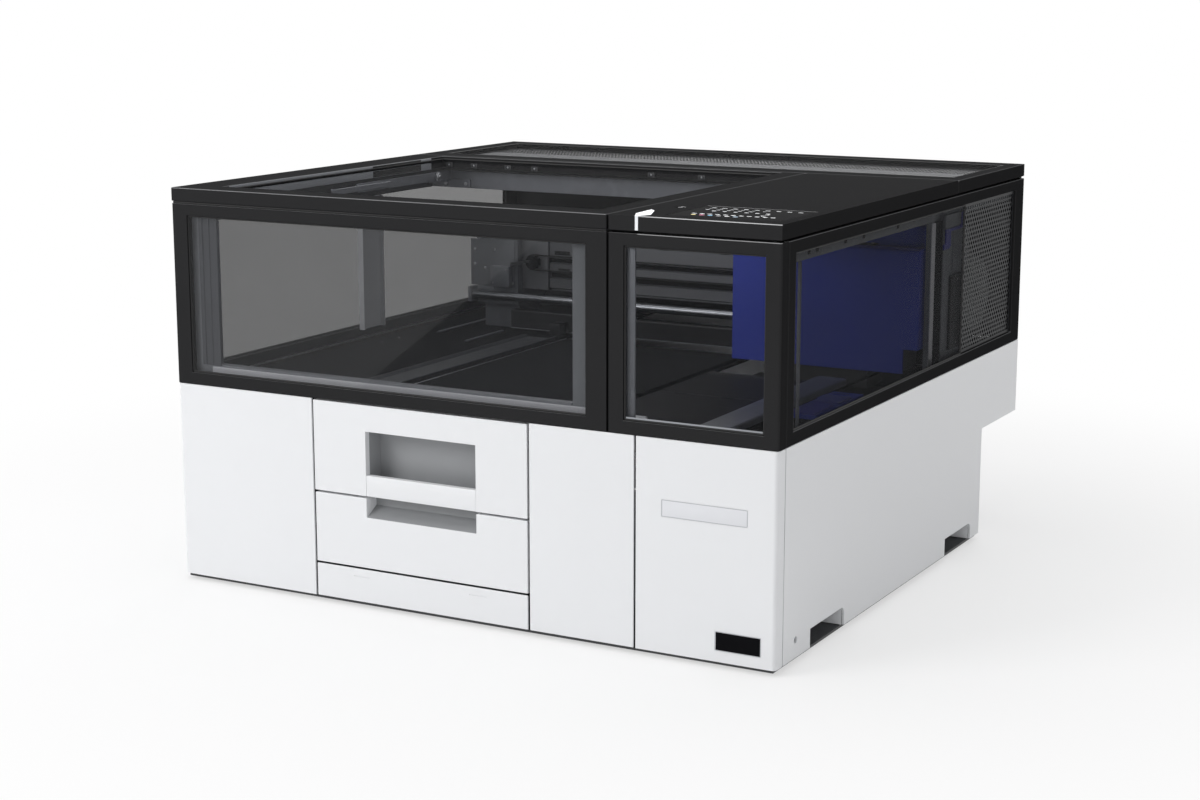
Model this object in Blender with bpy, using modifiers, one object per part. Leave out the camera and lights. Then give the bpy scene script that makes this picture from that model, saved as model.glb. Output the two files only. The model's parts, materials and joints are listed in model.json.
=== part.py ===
"""Flatbed UV printer with a lift-up loading lid, modelled as separate named pieces.

Metres, +Z up, front towards -Y.  The origin is on the floor, below the middle of the machine.
Every moving piece has its origin, or its parent empty, on the axis it turns about or slides along.
"""
import math

import bmesh
import bpy
from mathutils import Matrix, Vector

# Driving dimensions -------------------------------------------------------------------------
WIDTH = 0.980
DEPTH = 0.975
HEIGHT = 0.595
SIDE = WIDTH / 2
FRONT = -DEPTH / 2
REAR = DEPTH / 2

FIT = 0.0004            # clearance between pieces that touch
SEAM = 0.0034           # visible gap between covers
SKIN = 0.003            # white sheet covers
FRAME = 0.012           # depth of the black window frames
PANE = 0.003            # thickness of the clear panes
RIM = 0.0015            # rounding on visible edges
REAR_INSET = 0.0010     # the rear sheets lie this far inside the side panels' ends

FLOOR_PLATE_TOP = 0.0080
PANEL_TOP = 0.3028
BODY_BASE = 0.3034
BODY_TOP = 0.5716
LID_BASE = 0.5750
WINDOW_BASE = 0.3215
WINDOW_TOP = 0.5550

WRAP = FRONT + 0.0220   # how far the front covers reach round the corners
SIDE_START = WRAP + SEAM - 0.001
OVERHANG_Z = 0.1826     # underside of the rear overhang
OVERHANG_Y = 0.3165     # rear face of the base below the overhang

# Front seams, as the middle of each gap
SEAM_LEFT = -0.2444
SEAM_CENTRE = 0.1165
SEAM_RIGHT = 0.2818
LID_SEAM_X = 0.2401
LID_SEAM_Y = 0.1665

# Table
DECK_TOP = 0.3015
DECK_SHEET = 0.003
TABLE_TOP = 0.304
TABLE_LEFT, TABLE_RIGHT = -0.172, 0.156
TABLE_FRONT, TABLE_REAR = -0.436, 0.125

# Print carriage and its rail
SHAFT_Y, SHAFT_Z, SHAFT_R = 0.160, 0.3605, 0.0074
BELT_Z, BELT_Y, PULLEY_R = 0.420, 0.177, 0.0115
COVER_LEFT, COVER_RIGHT = 0.160, 0.467
COVER_FRONT, COVER_BASE = 0.070, 0.3085
MOTOR_X, IDLER_X = -0.265, 0.452

# Lid stay
STAY_X = -0.4235
STAY_PIVOT = (0.120, 0.563)
STAY_STUD = (-0.180, 0.563)

EDGES_AROUND = 40

PIECES = None
CUTTERS = None


# Scene and material helpers -------------------------------------------------------------------
def clear_scene():
    for obj in list(bpy.data.objects):
        bpy.data.objects.remove(obj, do_unlink=True)


def new_collection(name):
    collection = bpy.data.collections.new(name)
    bpy.context.scene.collection.children.link(collection)
    return collection


def material(name, colour, roughness, metallic=0.0):
    made = bpy.data.materials.new(name)
    made.use_nodes = True
    shader = made.node_tree.nodes["Principled BSDF"]
    shader.inputs["Base Color"].default_value = (*colour, 1.0)
    shader.inputs["Roughness"].default_value = roughness
    shader.inputs["Metallic"].default_value = metallic
    return made


FINISHES = {
    "white_shell": ((0.84, 0.85, 0.86), 0.45, 0.0),
    "black_frame": ((0.022, 0.022, 0.023), 0.40, 0.0),
    "clear_pane": ((0.30, 0.31, 0.32), 0.08, 0.0),
    "steel_grey": ((0.16, 0.17, 0.18), 0.45, 0.6),
    "steel_black": ((0.020, 0.021, 0.023), 0.50, 0.3),
    "bright_steel": ((0.60, 0.61, 0.63), 0.20, 1.0),
    "blue_cover": ((0.020, 0.030, 0.210), 0.42, 0.0),
    "panel_glass": ((0.006, 0.006, 0.007), 0.10, 0.0),
    "lamp_white": ((0.85, 0.87, 0.90), 0.30, 0.0),
    "rubber_black": ((0.015, 0.015, 0.015), 0.85, 0.0),
    "plastic_dark": ((0.030, 0.031, 0.034), 0.55, 0.0),
    "mesh_grey": ((0.18, 0.19, 0.20), 0.45, 0.4),
    "pocket_grey": ((0.36, 0.37, 0.38), 0.55, 0.0),
    "table_black": ((0.024, 0.025, 0.027), 0.55, 0.2),
}
MATERIALS = {}


def give_material(obj, finish):
    if finish not in MATERIALS:
        MATERIALS[finish] = material(finish, *FINISHES[finish])
    obj.data.materials.clear()
    obj.data.materials.append(MATERIALS[finish])


# Shape helpers ----------------------------------------------------------------------------
def span(low, high):
    """Centre and size of the box between two corners."""
    low, high = Vector(low), Vector(high)
    return (low + high) / 2, high - low


def box_mesh(name, size):
    mesh = bpy.data.meshes.new(name)
    form = bmesh.new()
    bmesh.ops.create_cube(form, size=1.0, matrix=Matrix.Diagonal((*size, 1.0)))
    form.to_mesh(mesh)
    form.free()
    return mesh


def box(name, low, high, finish=None):
    """A block between two corners, its origin in its middle."""
    middle, size = span(low, high)
    obj = bpy.data.objects.new(name, box_mesh(name, size))
    obj.location = middle
    PIECES.objects.link(obj)
    if finish:
        give_material(obj, finish)
    return obj


AXIS_TURN = {
    "X": Matrix(((0, 0, 1), (1, 0, 0), (0, 1, 0))).to_4x4(),
    "Y": Matrix(((1, 0, 0), (0, 0, -1), (0, 1, 0))).to_4x4(),
    "Z": Matrix.Identity(4),
}


def prism(name, outline, low, high, axis, finish=None, holes=()):
    """A flat outline carried from low to high along an axis.

    The outline is given in (Y, Z) for axis X, in (X, Z) for axis Y and in (X, Y) for axis Z.
    """
    curve = bpy.data.curves.new(name, "CURVE")
    curve.dimensions = "2D"
    curve.fill_mode = "BOTH"
    curve.extrude = (high - low) / 2
    for loop in (outline, *holes):
        spline = curve.splines.new("POLY")
        spline.points.add(len(loop) - 1)
        for point, (u, v) in zip(spline.points, loop):
            point.co = (u, v, 0.0, 1.0)
        spline.use_cyclic_u = True
    middle = (low + high) / 2
    shift = Vector((middle if axis == "X" else 0, middle if axis == "Y" else 0,
                    middle if axis == "Z" else 0))
    flat = bpy.data.objects.new(name + "_outline", curve)
    flat.matrix_world = Matrix.Translation(shift) @ AXIS_TURN[axis]
    PIECES.objects.link(flat)
    return to_mesh(flat, name, finish)


def to_mesh(source, name, finish):
    """Turn a curve object into a welded mesh object in the same place."""
    bpy.context.view_layer.update()
    graph = bpy.context.evaluated_depsgraph_get()
    mesh = bpy.data.meshes.new_from_object(source.evaluated_get(graph))
    form = bmesh.new()
    form.from_mesh(mesh)
    bmesh.ops.remove_doubles(form, verts=form.verts, dist=0.00001)
    bmesh.ops.recalc_face_normals(form, faces=form.faces)
    form.to_mesh(mesh)
    form.free()
    obj = bpy.data.objects.new(name, mesh)
    obj.matrix_world = source.matrix_world
    PIECES.objects.link(obj)
    curve = source.data
    bpy.data.objects.remove(source, do_unlink=True)
    bpy.data.curves.remove(curve)
    if finish:
        give_material(obj, finish)
    return obj


ROUND_TURN = {
    "X": Matrix.Rotation(math.pi / 2, 4, "Y"),
    "Y": Matrix.Rotation(-math.pi / 2, 4, "X"),
    "Z": Matrix.Identity(4),
}


def rod(name, centre, radius, length, axis, finish=None, sides=EDGES_AROUND):
    """A round bar along an axis, its origin in its middle."""
    mesh = bpy.data.meshes.new(name)
    form = bmesh.new()
    bmesh.ops.create_cone(form, cap_ends=True, segments=sides, radius1=radius,
                          radius2=radius, depth=length, matrix=ROUND_TURN[axis])
    form.to_mesh(mesh)
    form.free()
    smooth(mesh)
    obj = bpy.data.objects.new(name, mesh)
    obj.location = centre
    PIECES.objects.link(obj)
    if finish:
        give_material(obj, finish)
    return obj


def smooth(mesh):
    mesh.shade_smooth()
    mesh.set_sharp_from_angle(angle=math.radians(35))


def as_tool(tool):
    """Move an object out of the model and into the cutters."""
    PIECES.objects.unlink(tool)
    CUTTERS.objects.link(tool)
    tool.hide_render = True
    tool.display_type = "WIRE"
    return tool


def combine(obj, tool, operation):
    step = obj.modifiers.new(tool.name, "BOOLEAN")
    step.solver = "EXACT"
    step.operation = operation
    step.object = as_tool(tool)


def cut(obj, *tools):
    for tool in tools:
        combine(obj, tool, "DIFFERENCE")


def join(obj, *tools):
    for tool in tools:
        combine(obj, tool, "UNION")


def round_edges(obj, width=RIM, segments=2):
    step = obj.modifiers.new("rounded_edges", "BEVEL")
    step.width = width
    step.segments = segments
    step.limit_method = "ANGLE"
    step.angle_limit = math.radians(50)
    smooth(obj.data)


def pivot(name, place, *children):
    """An empty on a joint's axis that carries the pieces which move on it."""
    empty = bpy.data.objects.new(name, None)
    empty.empty_display_size = 0.05
    empty.location = place
    PIECES.objects.link(empty)
    bpy.context.view_layer.update()
    for child in children:
        world = child.matrix_world.copy()
        child.parent = empty
        child.matrix_parent_inverse = empty.matrix_world.inverted()
        child.matrix_world = world
    return empty


def arc(centre, radius, start, end, steps=6):
    """Points along a circular arc, angles in degrees."""
    points = []
    for step in range(steps + 1):
        turn = math.radians(start + (end - start) * step / steps)
        points.append((centre[0] + radius * math.cos(turn), centre[1] + radius * math.sin(turn)))
    return points


# Base ---------------------------------------------------------------------------------------
FOOT_SPOTS = {
    "foot_front_left": (-0.42, -0.42), "foot_front_right": (0.42, -0.42),
    "foot_rear_left": (-0.42, 0.25), "foot_rear_right": (0.42, 0.25),
}
POCKETS_Y = ((-0.373, -0.254), (0.156, 0.275))
POCKET_TOP = 0.036


def make_feet():
    for name, (x, y) in FOOT_SPOTS.items():
        foot = rod(name, (x, y, 0.0019), 0.028, 0.0038, "Z", "rubber_black")
        round_edges(foot, 0.0008, 1)


def make_base_plate():
    box("base_plate", (-0.4850, -0.4830, 0.0042), (0.4850, 0.3130, FLOOR_PLATE_TOP), "plastic_dark")


def make_deck():
    """Inverted-U steel chassis: deck with the table well, side walls, welded service tray."""
    base, out = FLOOR_PLATE_TOP + FIT, 0.4790
    under = DECK_TOP - DECK_SHEET
    outline = [(-out, base), (-out + DECK_SHEET, base), (-out + DECK_SHEET, under),
               (out - DECK_SHEET, under), (out - DECK_SHEET, base), (out, base),
               (out, DECK_TOP), (-out, DECK_TOP)]
    deck = prism("deck_chassis", outline, -0.4700, 0.3080, "Y", "steel_black")
    join(deck, box("deck_rear", (-out, 0.3070, under), (out, 0.4800, DECK_TOP)),
         box("service_tray", (0.2535, -0.2800, 0.2620), (0.4535, 0.1700, under + 0.0005)))
    cut(deck, box("service_tray_inside", (0.2565, -0.2770, 0.2650), (0.4505, 0.1670, under)),
        box("table_well", (-0.1785, -0.4420, under - 0.1), (0.1625, 0.4700, DECK_TOP + 0.1)),
        box("wiper_slot", (0.3925, -0.2750, under - 0.01), (0.4485, 0.1650, DECK_TOP + 0.1)),
        box("cap_slot", (0.1700, -0.0150, under - 0.01), (0.3885, 0.1650, DECK_TOP + 0.1)))
    for near, far in POCKETS_Y:
        cut(deck, box("pocket_way", (-0.6, near, -0.01), (0.6, far, POCKET_TOP)))


def make_drawer_bay():
    """Folded channel that the two drawers run in."""
    left, right, low, high, sheet = -0.2455, 0.1175, FLOOR_PLATE_TOP + FIT, 0.2180, 0.0018
    outline = [(left, low), (right, low), (right, high), (right - sheet, high),
               (right - sheet, low + sheet), (left + sheet, low + sheet), (left + sheet, high),
               (left, high)]
    prism("drawer_bay", outline, -0.4690, -0.2150, "Y", "steel_grey")


def corner_cover(name, side, inner, low, high, finish, skin=SKIN, radius=0.006):
    """Front cover that wraps round one corner of the machine, as seen from above."""
    s = 1 if side > 0 else -1
    centre = (s * (SIDE - radius), FRONT + radius)
    sweep = (-90, 0) if s > 0 else (-90, -180)
    outer = arc(centre, radius, *sweep)
    inside = arc(centre, radius - skin, *reversed(sweep))
    outline = [(inner, FRONT), *outer, (s * SIDE, WRAP), (s * (SIDE - skin), WRAP), *inside,
               (inner, FRONT + skin)]
    return prism(name, outline, low, high, "Z", finish)


KICK_SLOTS_X = ((-0.1770, -0.1500), (0.0190, 0.0470))
KICK_SLOT_Z = 0.0460
LABEL_PLACES = {
    "name_recess": (0.3215, 0.1970, 0.4480, 0.2210),
    "badge_recess": (0.4020, 0.0240, 0.4695, 0.0515),
}
LABEL_DEPTH = 0.0008


def make_front_panels():
    half = SEAM / 2
    low = 0.0090
    corner_cover("front_left_panel", -1, SEAM_LEFT - half, low, PANEL_TOP, "white_shell")
    panel = box("front_center_panel", (SEAM_CENTRE + half, FRONT, low),
                (SEAM_RIGHT - half, FRONT + SKIN, PANEL_TOP), "white_shell")
    round_edges(panel, 0.0010)
    kick = box("kick_panel", (SEAM_LEFT + half, FRONT, low),
               (SEAM_CENTRE - half, FRONT + SKIN, 0.0580), "white_shell")
    round_edges(kick, 0.0010)
    for slot, (start, end) in enumerate(KICK_SLOTS_X):
        cut(kick, box("kick_slot_%d" % slot, (start, FRONT - 0.01, KICK_SLOT_Z),
                      (end, FRONT + 0.0010, KICK_SLOT_Z + 0.0016)))
    door = corner_cover("access_door", 1, SEAM_RIGHT + half, low, PANEL_TOP, "white_shell")
    for label, (x0, z0, x1, z1) in LABEL_PLACES.items():
        cut(door, box(label, (x0, FRONT - 0.01, z0), (x1, FRONT + LABEL_DEPTH, z1)))
    return door


def make_side_panels():
    low = 0.0090
    for name, inner in (("side_panel_left", -SIDE), ("side_panel_right", SIDE - SKIN)):
        outline = [(SIDE_START, low)]
        for near, far in POCKETS_Y:
            outline += [(near, low), (near, POCKET_TOP), (far - 0.010, POCKET_TOP)]
            outline += arc((far - 0.010, POCKET_TOP - 0.010), 0.010, 90, 0, 4)[1:]
            outline += [(far, low)]
        outline += [(OVERHANG_Y, low), (OVERHANG_Y, OVERHANG_Z), (REAR, OVERHANG_Z),
                    (REAR, PANEL_TOP), (SIDE_START, PANEL_TOP)]
        panel = prism(name, outline, inner, inner + SKIN, "X", "white_shell")
        cut(panel, rod("fixing_hole", (inner, -0.4220, 0.0340), 0.0050, 0.02, "X", sides=24))


def make_rear_lower_panel():
    """One folded sheet: back of the base, underside and back of the overhang."""
    low, back, sheet = 0.0090, OVERHANG_Y, SKIN
    rear = REAR - REAR_INSET
    outline = [(back - sheet, low), (back, low), (back, OVERHANG_Z), (rear, OVERHANG_Z),
               (rear, PANEL_TOP), (rear - sheet, PANEL_TOP), (rear - sheet, OVERHANG_Z + sheet),
               (back - sheet, OVERHANG_Z + sheet)]
    inner = SIDE - SKIN - FIT
    panel = prism("rear_lower_panel", outline, -inner, inner, "X", "white_shell")
    cut(panel, box("inlet_hole", (0.3795, 0.47, 0.2245), (0.4205, 0.50, 0.2605)))


def make_power_inlet():
    inlet = box("power_inlet", (0.3800, 0.4560, 0.2250), (0.4200, 0.4870, 0.2600), "plastic_dark")
    cut(inlet, box("inlet_mouth", (0.3860, 0.4650, 0.2310), (0.4140, 0.50, 0.2540)))
    for x, z in ((0.3930, 0.2400), (0.4000, 0.2460), (0.4070, 0.2400)):
        join(inlet, box("contact_blade", (x - 0.001, 0.4640, z - 0.003), (x + 0.001, 0.4820, z + 0.003)))


# Drawers ------------------------------------------------------------------------------------
HANDLE_LEFT, HANDLE_RIGHT = -0.153, 0.032
POCKET_WALL = 0.003
GRIP_LOW, GRIP_TOP, RECESS_TOP = 0.1780, 0.1980, 0.2630


def make_ink_drawer():
    """Upper drawer: a front plate whose lower edge is the grip, and the finger pocket behind it."""
    left, right = SEAM_LEFT + SEAM / 2, SEAM_CENTRE - SEAM / 2
    base, top = 0.1680, 0.3010
    plate_back, pocket_front, pocket_back = FRONT + 0.0100, FRONT + 0.0104, FRONT + 0.0410
    front = box("ink_drawer_front", (left, FRONT, base), (right, plate_back, top), "white_shell")
    cut(front, box("pull_opening", (HANDLE_LEFT, FRONT - 0.01, GRIP_TOP),
                   (HANDLE_RIGHT, plate_back + 0.01, RECESS_TOP)),
        box("grip_facing_seat", (HANDLE_LEFT, FRONT - 0.01, base - 0.01),
            (HANDLE_RIGHT, FRONT + 0.0008, GRIP_TOP + 0.01)))
    pocket = box("ink_drawer_pocket", (HANDLE_LEFT - POCKET_WALL, pocket_front, GRIP_LOW - POCKET_WALL),
                 (HANDLE_RIGHT + POCKET_WALL, pocket_back, RECESS_TOP + POCKET_WALL), "pocket_grey")
    cut(pocket, box("finger_space", (HANDLE_LEFT, FRONT - 0.01, GRIP_LOW),
                    (HANDLE_RIGHT, pocket_back - POCKET_WALL, RECESS_TOP)))
    tray = open_tray("ink_drawer_tray", (-0.2360, FRONT + 0.0415, 0.1715), (0.1080, -0.2250, 0.2165))
    return pivot("ink_drawer", (0, FRONT, 0.23), front, pocket, tray)


def make_storage_drawer():
    left, right = SEAM_LEFT + SEAM / 2, SEAM_CENTRE - SEAM / 2
    front = box("storage_drawer_front", (left, FRONT, 0.0610), (right, FRONT + 0.028, 0.1646),
                "white_shell")
    scoop = [(FRONT - 0.002, 0.1350), (FRONT + 0.0250, 0.1500), (FRONT + 0.0250, 0.1700),
             (FRONT - 0.002, 0.1700)]
    cut(front, prism("scoop", scoop, HANDLE_LEFT, HANDLE_RIGHT, "X"))
    round_edges(front, 0.0010)
    tray = open_tray("storage_drawer_tray", (-0.2360, FRONT + 0.0285, 0.0640), (0.1080, -0.2250, 0.1600))
    return pivot("storage_drawer", (0, FRONT, 0.11), front, tray)


def open_tray(name, low, high, wall=0.0025):
    tray = box(name, low, high, "plastic_dark")
    cut(tray, box("tray_inside", (low[0] + wall, low[1] + wall, low[2] + wall),
                  (high[0] - wall, high[1] - wall, high[2] + 0.01)))
    return tray


# Upper body ---------------------------------------------------------------------------------
SIDE_WINDOW = (-0.442, 0.447)
MESH_START = 0.2045
SIDE_DEPTH = 0.009


def make_side_walls():
    for side, inner in (("left", -SIDE), ("right", SIDE - SIDE_DEPTH)):
        frame = box("side_frame_" + side, (inner, SIDE_START, BODY_BASE),
                    (inner + SIDE_DEPTH, REAR, BODY_TOP), "black_frame")
        cut(frame, box("side_opening_" + side, (-1, SIDE_WINDOW[0], WINDOW_BASE),
                       (1, SIDE_WINDOW[1], WINDOW_TOP)))
        round_edges(frame, 0.0012)
        pane_x = inner + (0.0025 if side == "left" else SIDE_DEPTH - 0.0025 - PANE)
        low, high = WINDOW_BASE + FIT, WINDOW_TOP - FIT
        pane_end = MESH_START if side == "right" else SIDE_WINDOW[1]
        box("side_window_" + side, (pane_x, SIDE_WINDOW[0] + FIT, low),
            (pane_x + PANE, pane_end - FIT, high), "clear_pane")
        if side == "right":
            box("side_mesh_right", (pane_x, MESH_START + FIT, low),
                (pane_x + PANE / 2, SIDE_WINDOW[1] - FIT, high), "mesh_grey")


def make_rear_upper_panel():
    inner = SIDE - SIDE_DEPTH - FIT
    rear = REAR - REAR_INSET
    panel = box("rear_upper_panel", (-inner, rear - SKIN, BODY_BASE), (inner, rear, BODY_TOP),
                "black_frame")
    round_edges(panel, 0.0008, 1)


def make_crossbar():
    """Roof bar behind the loading lid, with the ear and pin that carry the lid stay."""
    bar = box("crossbar", (-0.4790, 0.1760, 0.5400), (0.2600, 0.2000, 0.5690), "steel_grey")
    ear = box("stay_ear", (-0.4340, 0.1080, 0.5520), (-0.4290, 0.1770, 0.5690))
    pin = rod("stay_pin", (-0.4245, STAY_PIVOT[0], STAY_PIVOT[1]), 0.0040, 0.0110, "X", sides=20)
    join(bar, ear, pin)


def hollow_cover(name, low, high, wall=0.010, roof=0.004, skirt=0.012, inset=0.0065):
    """Top cover: a raised slab with a recessed skirt, open below."""
    cover = box(name, low, high, "black_frame")
    join(cover, box(name + "_skirt", (low[0] + inset, low[1] + inset, low[2] - skirt),
                    (high[0] - inset, high[1] - inset, low[2] + 0.002)))
    cut(cover, box(name + "_inside", (low[0] + wall, low[1] + wall, low[2] - skirt - 0.01),
                   (high[0] - wall, high[1] - wall, high[2] - roof)))
    return cover


PANEL_AREA = ((0.3105, -0.4560), (0.4720, -0.3330))
LAMP_FRONT_X = (0.2807, 0.2851)
LAMP_TOP = [(LAMP_FRONT_X[0], FRONT), (LAMP_FRONT_X[1], FRONT), (0.2940, -0.4680), (0.2745, -0.4200),
            (0.2650, -0.4110), (0.2680, -0.4600)]
LAMP_THICK = 0.0018
BUTTON_SPOT = (0.2860, -0.3660)


def grown(outline, gap):
    """A convex outline, listed anticlockwise, with each side moved outwards by the gap."""
    sides = []
    for start, end in zip(outline, outline[1:] + outline[:1]):
        along = (Vector(end) - Vector(start)).normalized()
        out = Vector((along.y, -along.x))
        sides.append((Vector(start) + out * gap, out))
    corners = []
    for (spot, out), (next_spot, next_out) in zip(sides[-1:] + sides[:-1], sides):
        cross = out.cross(next_out)
        reach, next_reach = spot.dot(out), next_spot.dot(next_out)
        corners.append(((reach * next_out.y - next_reach * out.y) / cross,
                        (next_reach * out.x - reach * next_out.x) / cross))
    return corners


def make_right_top_cover():
    """Top cover over the service side, with the touch panel, the alert lamp and the power button."""
    low, high = (LID_SEAM_X + SEAM / 2, FRONT, LID_BASE), (SIDE, LID_SEAM_Y - 0.0015, HEIGHT)
    cover = hollow_cover("right_top_cover", low, high, wall=0.016, inset=0.0130)
    (x0, y0), (x1, y1) = PANEL_AREA
    cut(cover, box("panel_seat", (x0 - FIT, y0 - FIT, HEIGHT - 0.0020), (x1 + FIT, y1 + FIT, 1.0)),
        rod("button_hole", (*BUTTON_SPOT, HEIGHT), 0.0074, 0.02, "Z", sides=32),
        prism("lamp_seat_top", grown(LAMP_TOP, FIT), HEIGHT - LAMP_THICK - FIT, 1.0, "Z"),
        box("lamp_seat_front", (LAMP_FRONT_X[0] - FIT, -0.50, 0.5),
            (LAMP_FRONT_X[1] + FIT, FRONT + LAMP_THICK + FIT, 1.0)))
    round_edges(cover, 0.0012)
    box("control_panel", (x0, y0, HEIGHT - 0.0016), (x1, y1, HEIGHT - 0.0002), "panel_glass")
    lamp = prism("alert_lamp", LAMP_TOP, HEIGHT - LAMP_THICK, HEIGHT, "Z", "lamp_white")
    join(lamp, box("lamp_front", (LAMP_FRONT_X[0], FRONT, LID_BASE + 0.001),
                   (LAMP_FRONT_X[1], FRONT + LAMP_THICK, HEIGHT - LAMP_THICK / 2)))
    button = rod("power_button", (*BUTTON_SPOT, HEIGHT - 0.0050), 0.0068, 0.0090, "Z",
                 "panel_glass", sides=32)
    round_edges(button, 0.0005, 1)


REAR_GLASS = ((-0.4560, 0.2100), (0.4670, 0.4470))


def make_rear_top_cover():
    low, high = (-SIDE, LID_SEAM_Y + 0.0015, LID_BASE), (SIDE, REAR, HEIGHT)
    cover = hollow_cover("rear_top_cover", low, high, wall=0.020, inset=0.0115, skirt=0.004)
    (x0, y0), (x1, y1) = REAR_GLASS
    cut(cover, box("rear_glass_hole", (x0, y0, 0.5), (x1, y1, 1.0)))
    round_edges(cover, 0.0012)
    box("rear_top_window", (x0 + FIT, y0 + FIT, HEIGHT - 0.0040), (x1 - FIT, y1 - FIT, HEIGHT - 0.0010),
        "clear_pane")


# Loading lid --------------------------------------------------------------------------------
def corner_frame(name, side, inner, top, window, cutter):
    """Window frame at the front whose outer edge wraps round the machine's corner."""
    s = 1 if side > 0 else -1
    radius, leg = 0.003, 0.004
    outline = [(inner, FRONT), *arc((s * (SIDE - radius), FRONT + radius), radius,
                                    *((-90, 0) if s > 0 else (-90, -180)), 4),
               (s * SIDE, WRAP), (s * (SIDE - leg), WRAP), (s * (SIDE - leg), FRONT + FRAME),
               (inner, FRONT + FRAME)]
    frame = prism(name, outline, BODY_BASE, top, "Z", "black_frame")
    cut(frame, box(cutter, (window[0], -1, WINDOW_BASE), (window[1], 0, WINDOW_TOP)))
    round_edges(frame, 0.0010)
    return frame


LID_OPENING = ((-0.4300, -0.4420), (0.2030, 0.1530))
DOOR_WINDOW = (-0.4626, 0.2075)


def make_loading_lid():
    """Lid and front window door, fixed together: both rise on the hinge line at the rear seam."""
    right = LID_SEAM_X - SEAM / 2
    (x0, y0), (x1, y1) = LID_OPENING
    frame = box("lid_frame", (-SIDE, FRONT, LID_BASE), (right, LID_SEAM_Y - 0.0015, HEIGHT), "black_frame")
    cut(frame, box("lid_hole", (x0, y0, 0.5), (x1, y1, 1.0)))
    round_edges(frame, 0.0012)
    pane = box("lid_window", (x0 + FIT, y0 + FIT, HEIGHT - 0.0085), (x1 - FIT, y1 - FIT, HEIGHT - 0.0055),
               "clear_pane")
    door = corner_frame("door_frame", -1, right, BODY_TOP, DOOR_WINDOW, "door_hole")
    liner = box("door_liner", (-0.4690, FRONT + FRAME + 0.0008, 0.3190),
                (0.2150, FRONT + FRAME + 0.0110, 0.5600), "steel_grey")
    cut(liner, box("liner_hole", (-0.4330, -1, 0.3315), (0.1795, 0, 0.5540)))
    round_edges(liner, 0.0010, 1)
    low, high = WINDOW_BASE + FIT, WINDOW_TOP - FIT
    glass = box("door_window", (DOOR_WINDOW[0] + FIT, FRONT + 0.0035, low),
                (DOOR_WINDOW[1] - FIT, FRONT + 0.0035 + PANE, high), "clear_pane")
    return pivot("lid_hinge_line", (0, LID_SEAM_Y, HEIGHT), frame, pane, door, glass, liner)


def make_lid_stay():
    """Stay arm on the crossbar's pin, and the slider that reaches on to the lid."""
    pivot_y, pivot_z = STAY_PIVOT
    reach = 0.225
    half = 0.007
    side = (STAY_X - 0.0030, STAY_X + 0.0020)
    outline = arc((pivot_y, pivot_z), half, -90, 90, 10)
    outline += arc((pivot_y - reach, pivot_z), half, 90, 270, 10)
    arm = prism("lid_stay_arm", outline, side[0], side[1], "X", "steel_grey",
                holes=(arc((pivot_y, pivot_z), 0.0044, 0, 342, 19),))
    pivot("lid_stay_pivot", (STAY_X, pivot_y, pivot_z), arm)
    slider = box("lid_stay_slider", (side[1] + 0.0004, STAY_STUD[0] - 0.006, pivot_z - 0.0045),
                 (side[1] + 0.0029, -0.0200, pivot_z + 0.0045), "steel_grey")
    round_edges(slider, 0.0006, 1)
    pivot("lid_stay_slide", (STAY_X, pivot_y, pivot_z), slider)


# Service door -------------------------------------------------------------------------------
SERVICE_WINDOW = (0.2640, 0.4690)


def make_service_door():
    left = LID_SEAM_X + SEAM / 2
    frame = corner_frame("service_door_frame", 1, left, BODY_TOP, SERVICE_WINDOW, "service_hole")
    pane = box("service_door_window", (SERVICE_WINDOW[0] + FIT, FRONT + 0.0035, WINDOW_BASE + FIT),
               (SERVICE_WINDOW[1] - FIT, FRONT + 0.0035 + PANE, WINDOW_TOP - FIT), "clear_pane")
    return pivot("service_door_hinge_line", (left, FRONT, 0.44), frame, pane)


# Print carriage -----------------------------------------------------------------------------
BEAM_FRONT, BEAM_BACK, BEAM_BASE, BEAM_TOP = 0.1880, 0.2450, 0.3720, 0.4700
BEAM_GROOVES = ((0.4290, 0.4180), (0.4050, 0.3925))
GROOVE_DEPTH, GROOVE_SLOPE = 0.0070, 0.0020


def make_gantry():
    """Grooved cross beam on its two ends, and the round shaft in front of it."""
    ribs = [(BEAM_BACK, BEAM_BASE), (BEAM_BACK, BEAM_TOP), (BEAM_FRONT, BEAM_TOP)]
    bottom = BEAM_FRONT + GROOVE_DEPTH
    for high, low in BEAM_GROOVES:
        ribs += [(BEAM_FRONT, high), (bottom, high - GROOVE_SLOPE), (bottom, low + GROOVE_SLOPE),
                 (BEAM_FRONT, low)]
    ribs += [(BEAM_FRONT, 0.3770), (BEAM_FRONT + 0.0050, 0.3750), (BEAM_FRONT + 0.0050, BEAM_BASE)]
    prism("gantry_beam", ribs, -0.2395, 0.4700, "X", "steel_grey")
    left = box("gantry_end_left", (-0.3740, 0.1700, 0.3450), (-0.2920, 0.2620, 0.5050), "steel_grey")
    cut(left, box("end_hollow", (-0.3700, 0.1740, 0.3490), (-0.2960, 0.2700, 0.5010)))
    join(left, box("end_leg", (-0.3700, 0.1900, DECK_TOP + FIT), (-0.3000, 0.2550, 0.3470)),
         box("end_tongue", (-0.2980, 0.2460, 0.3800), (-0.2150, 0.2620, 0.4650)),
         box("shaft_seat", (-0.3800, 0.1500, 0.3480), (-0.3735, 0.1720, 0.3740)))
    round_edges(left, 0.0010, 1)
    right = box("gantry_end_right", (0.4705, 0.0850, DECK_TOP + FIT), (0.4785, 0.2280, 0.5540),
                "steel_grey")
    cut(right, box("post_groove", (0.4745, 0.0980, 0.31), (0.49, 0.1350, 0.56)))
    shaft_left, shaft_right = -0.3731, 0.4701
    rod("guide_shaft", ((shaft_left + shaft_right) / 2, SHAFT_Y, SHAFT_Z), SHAFT_R,
        shaft_right - shaft_left, "X", "bright_steel")


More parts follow.
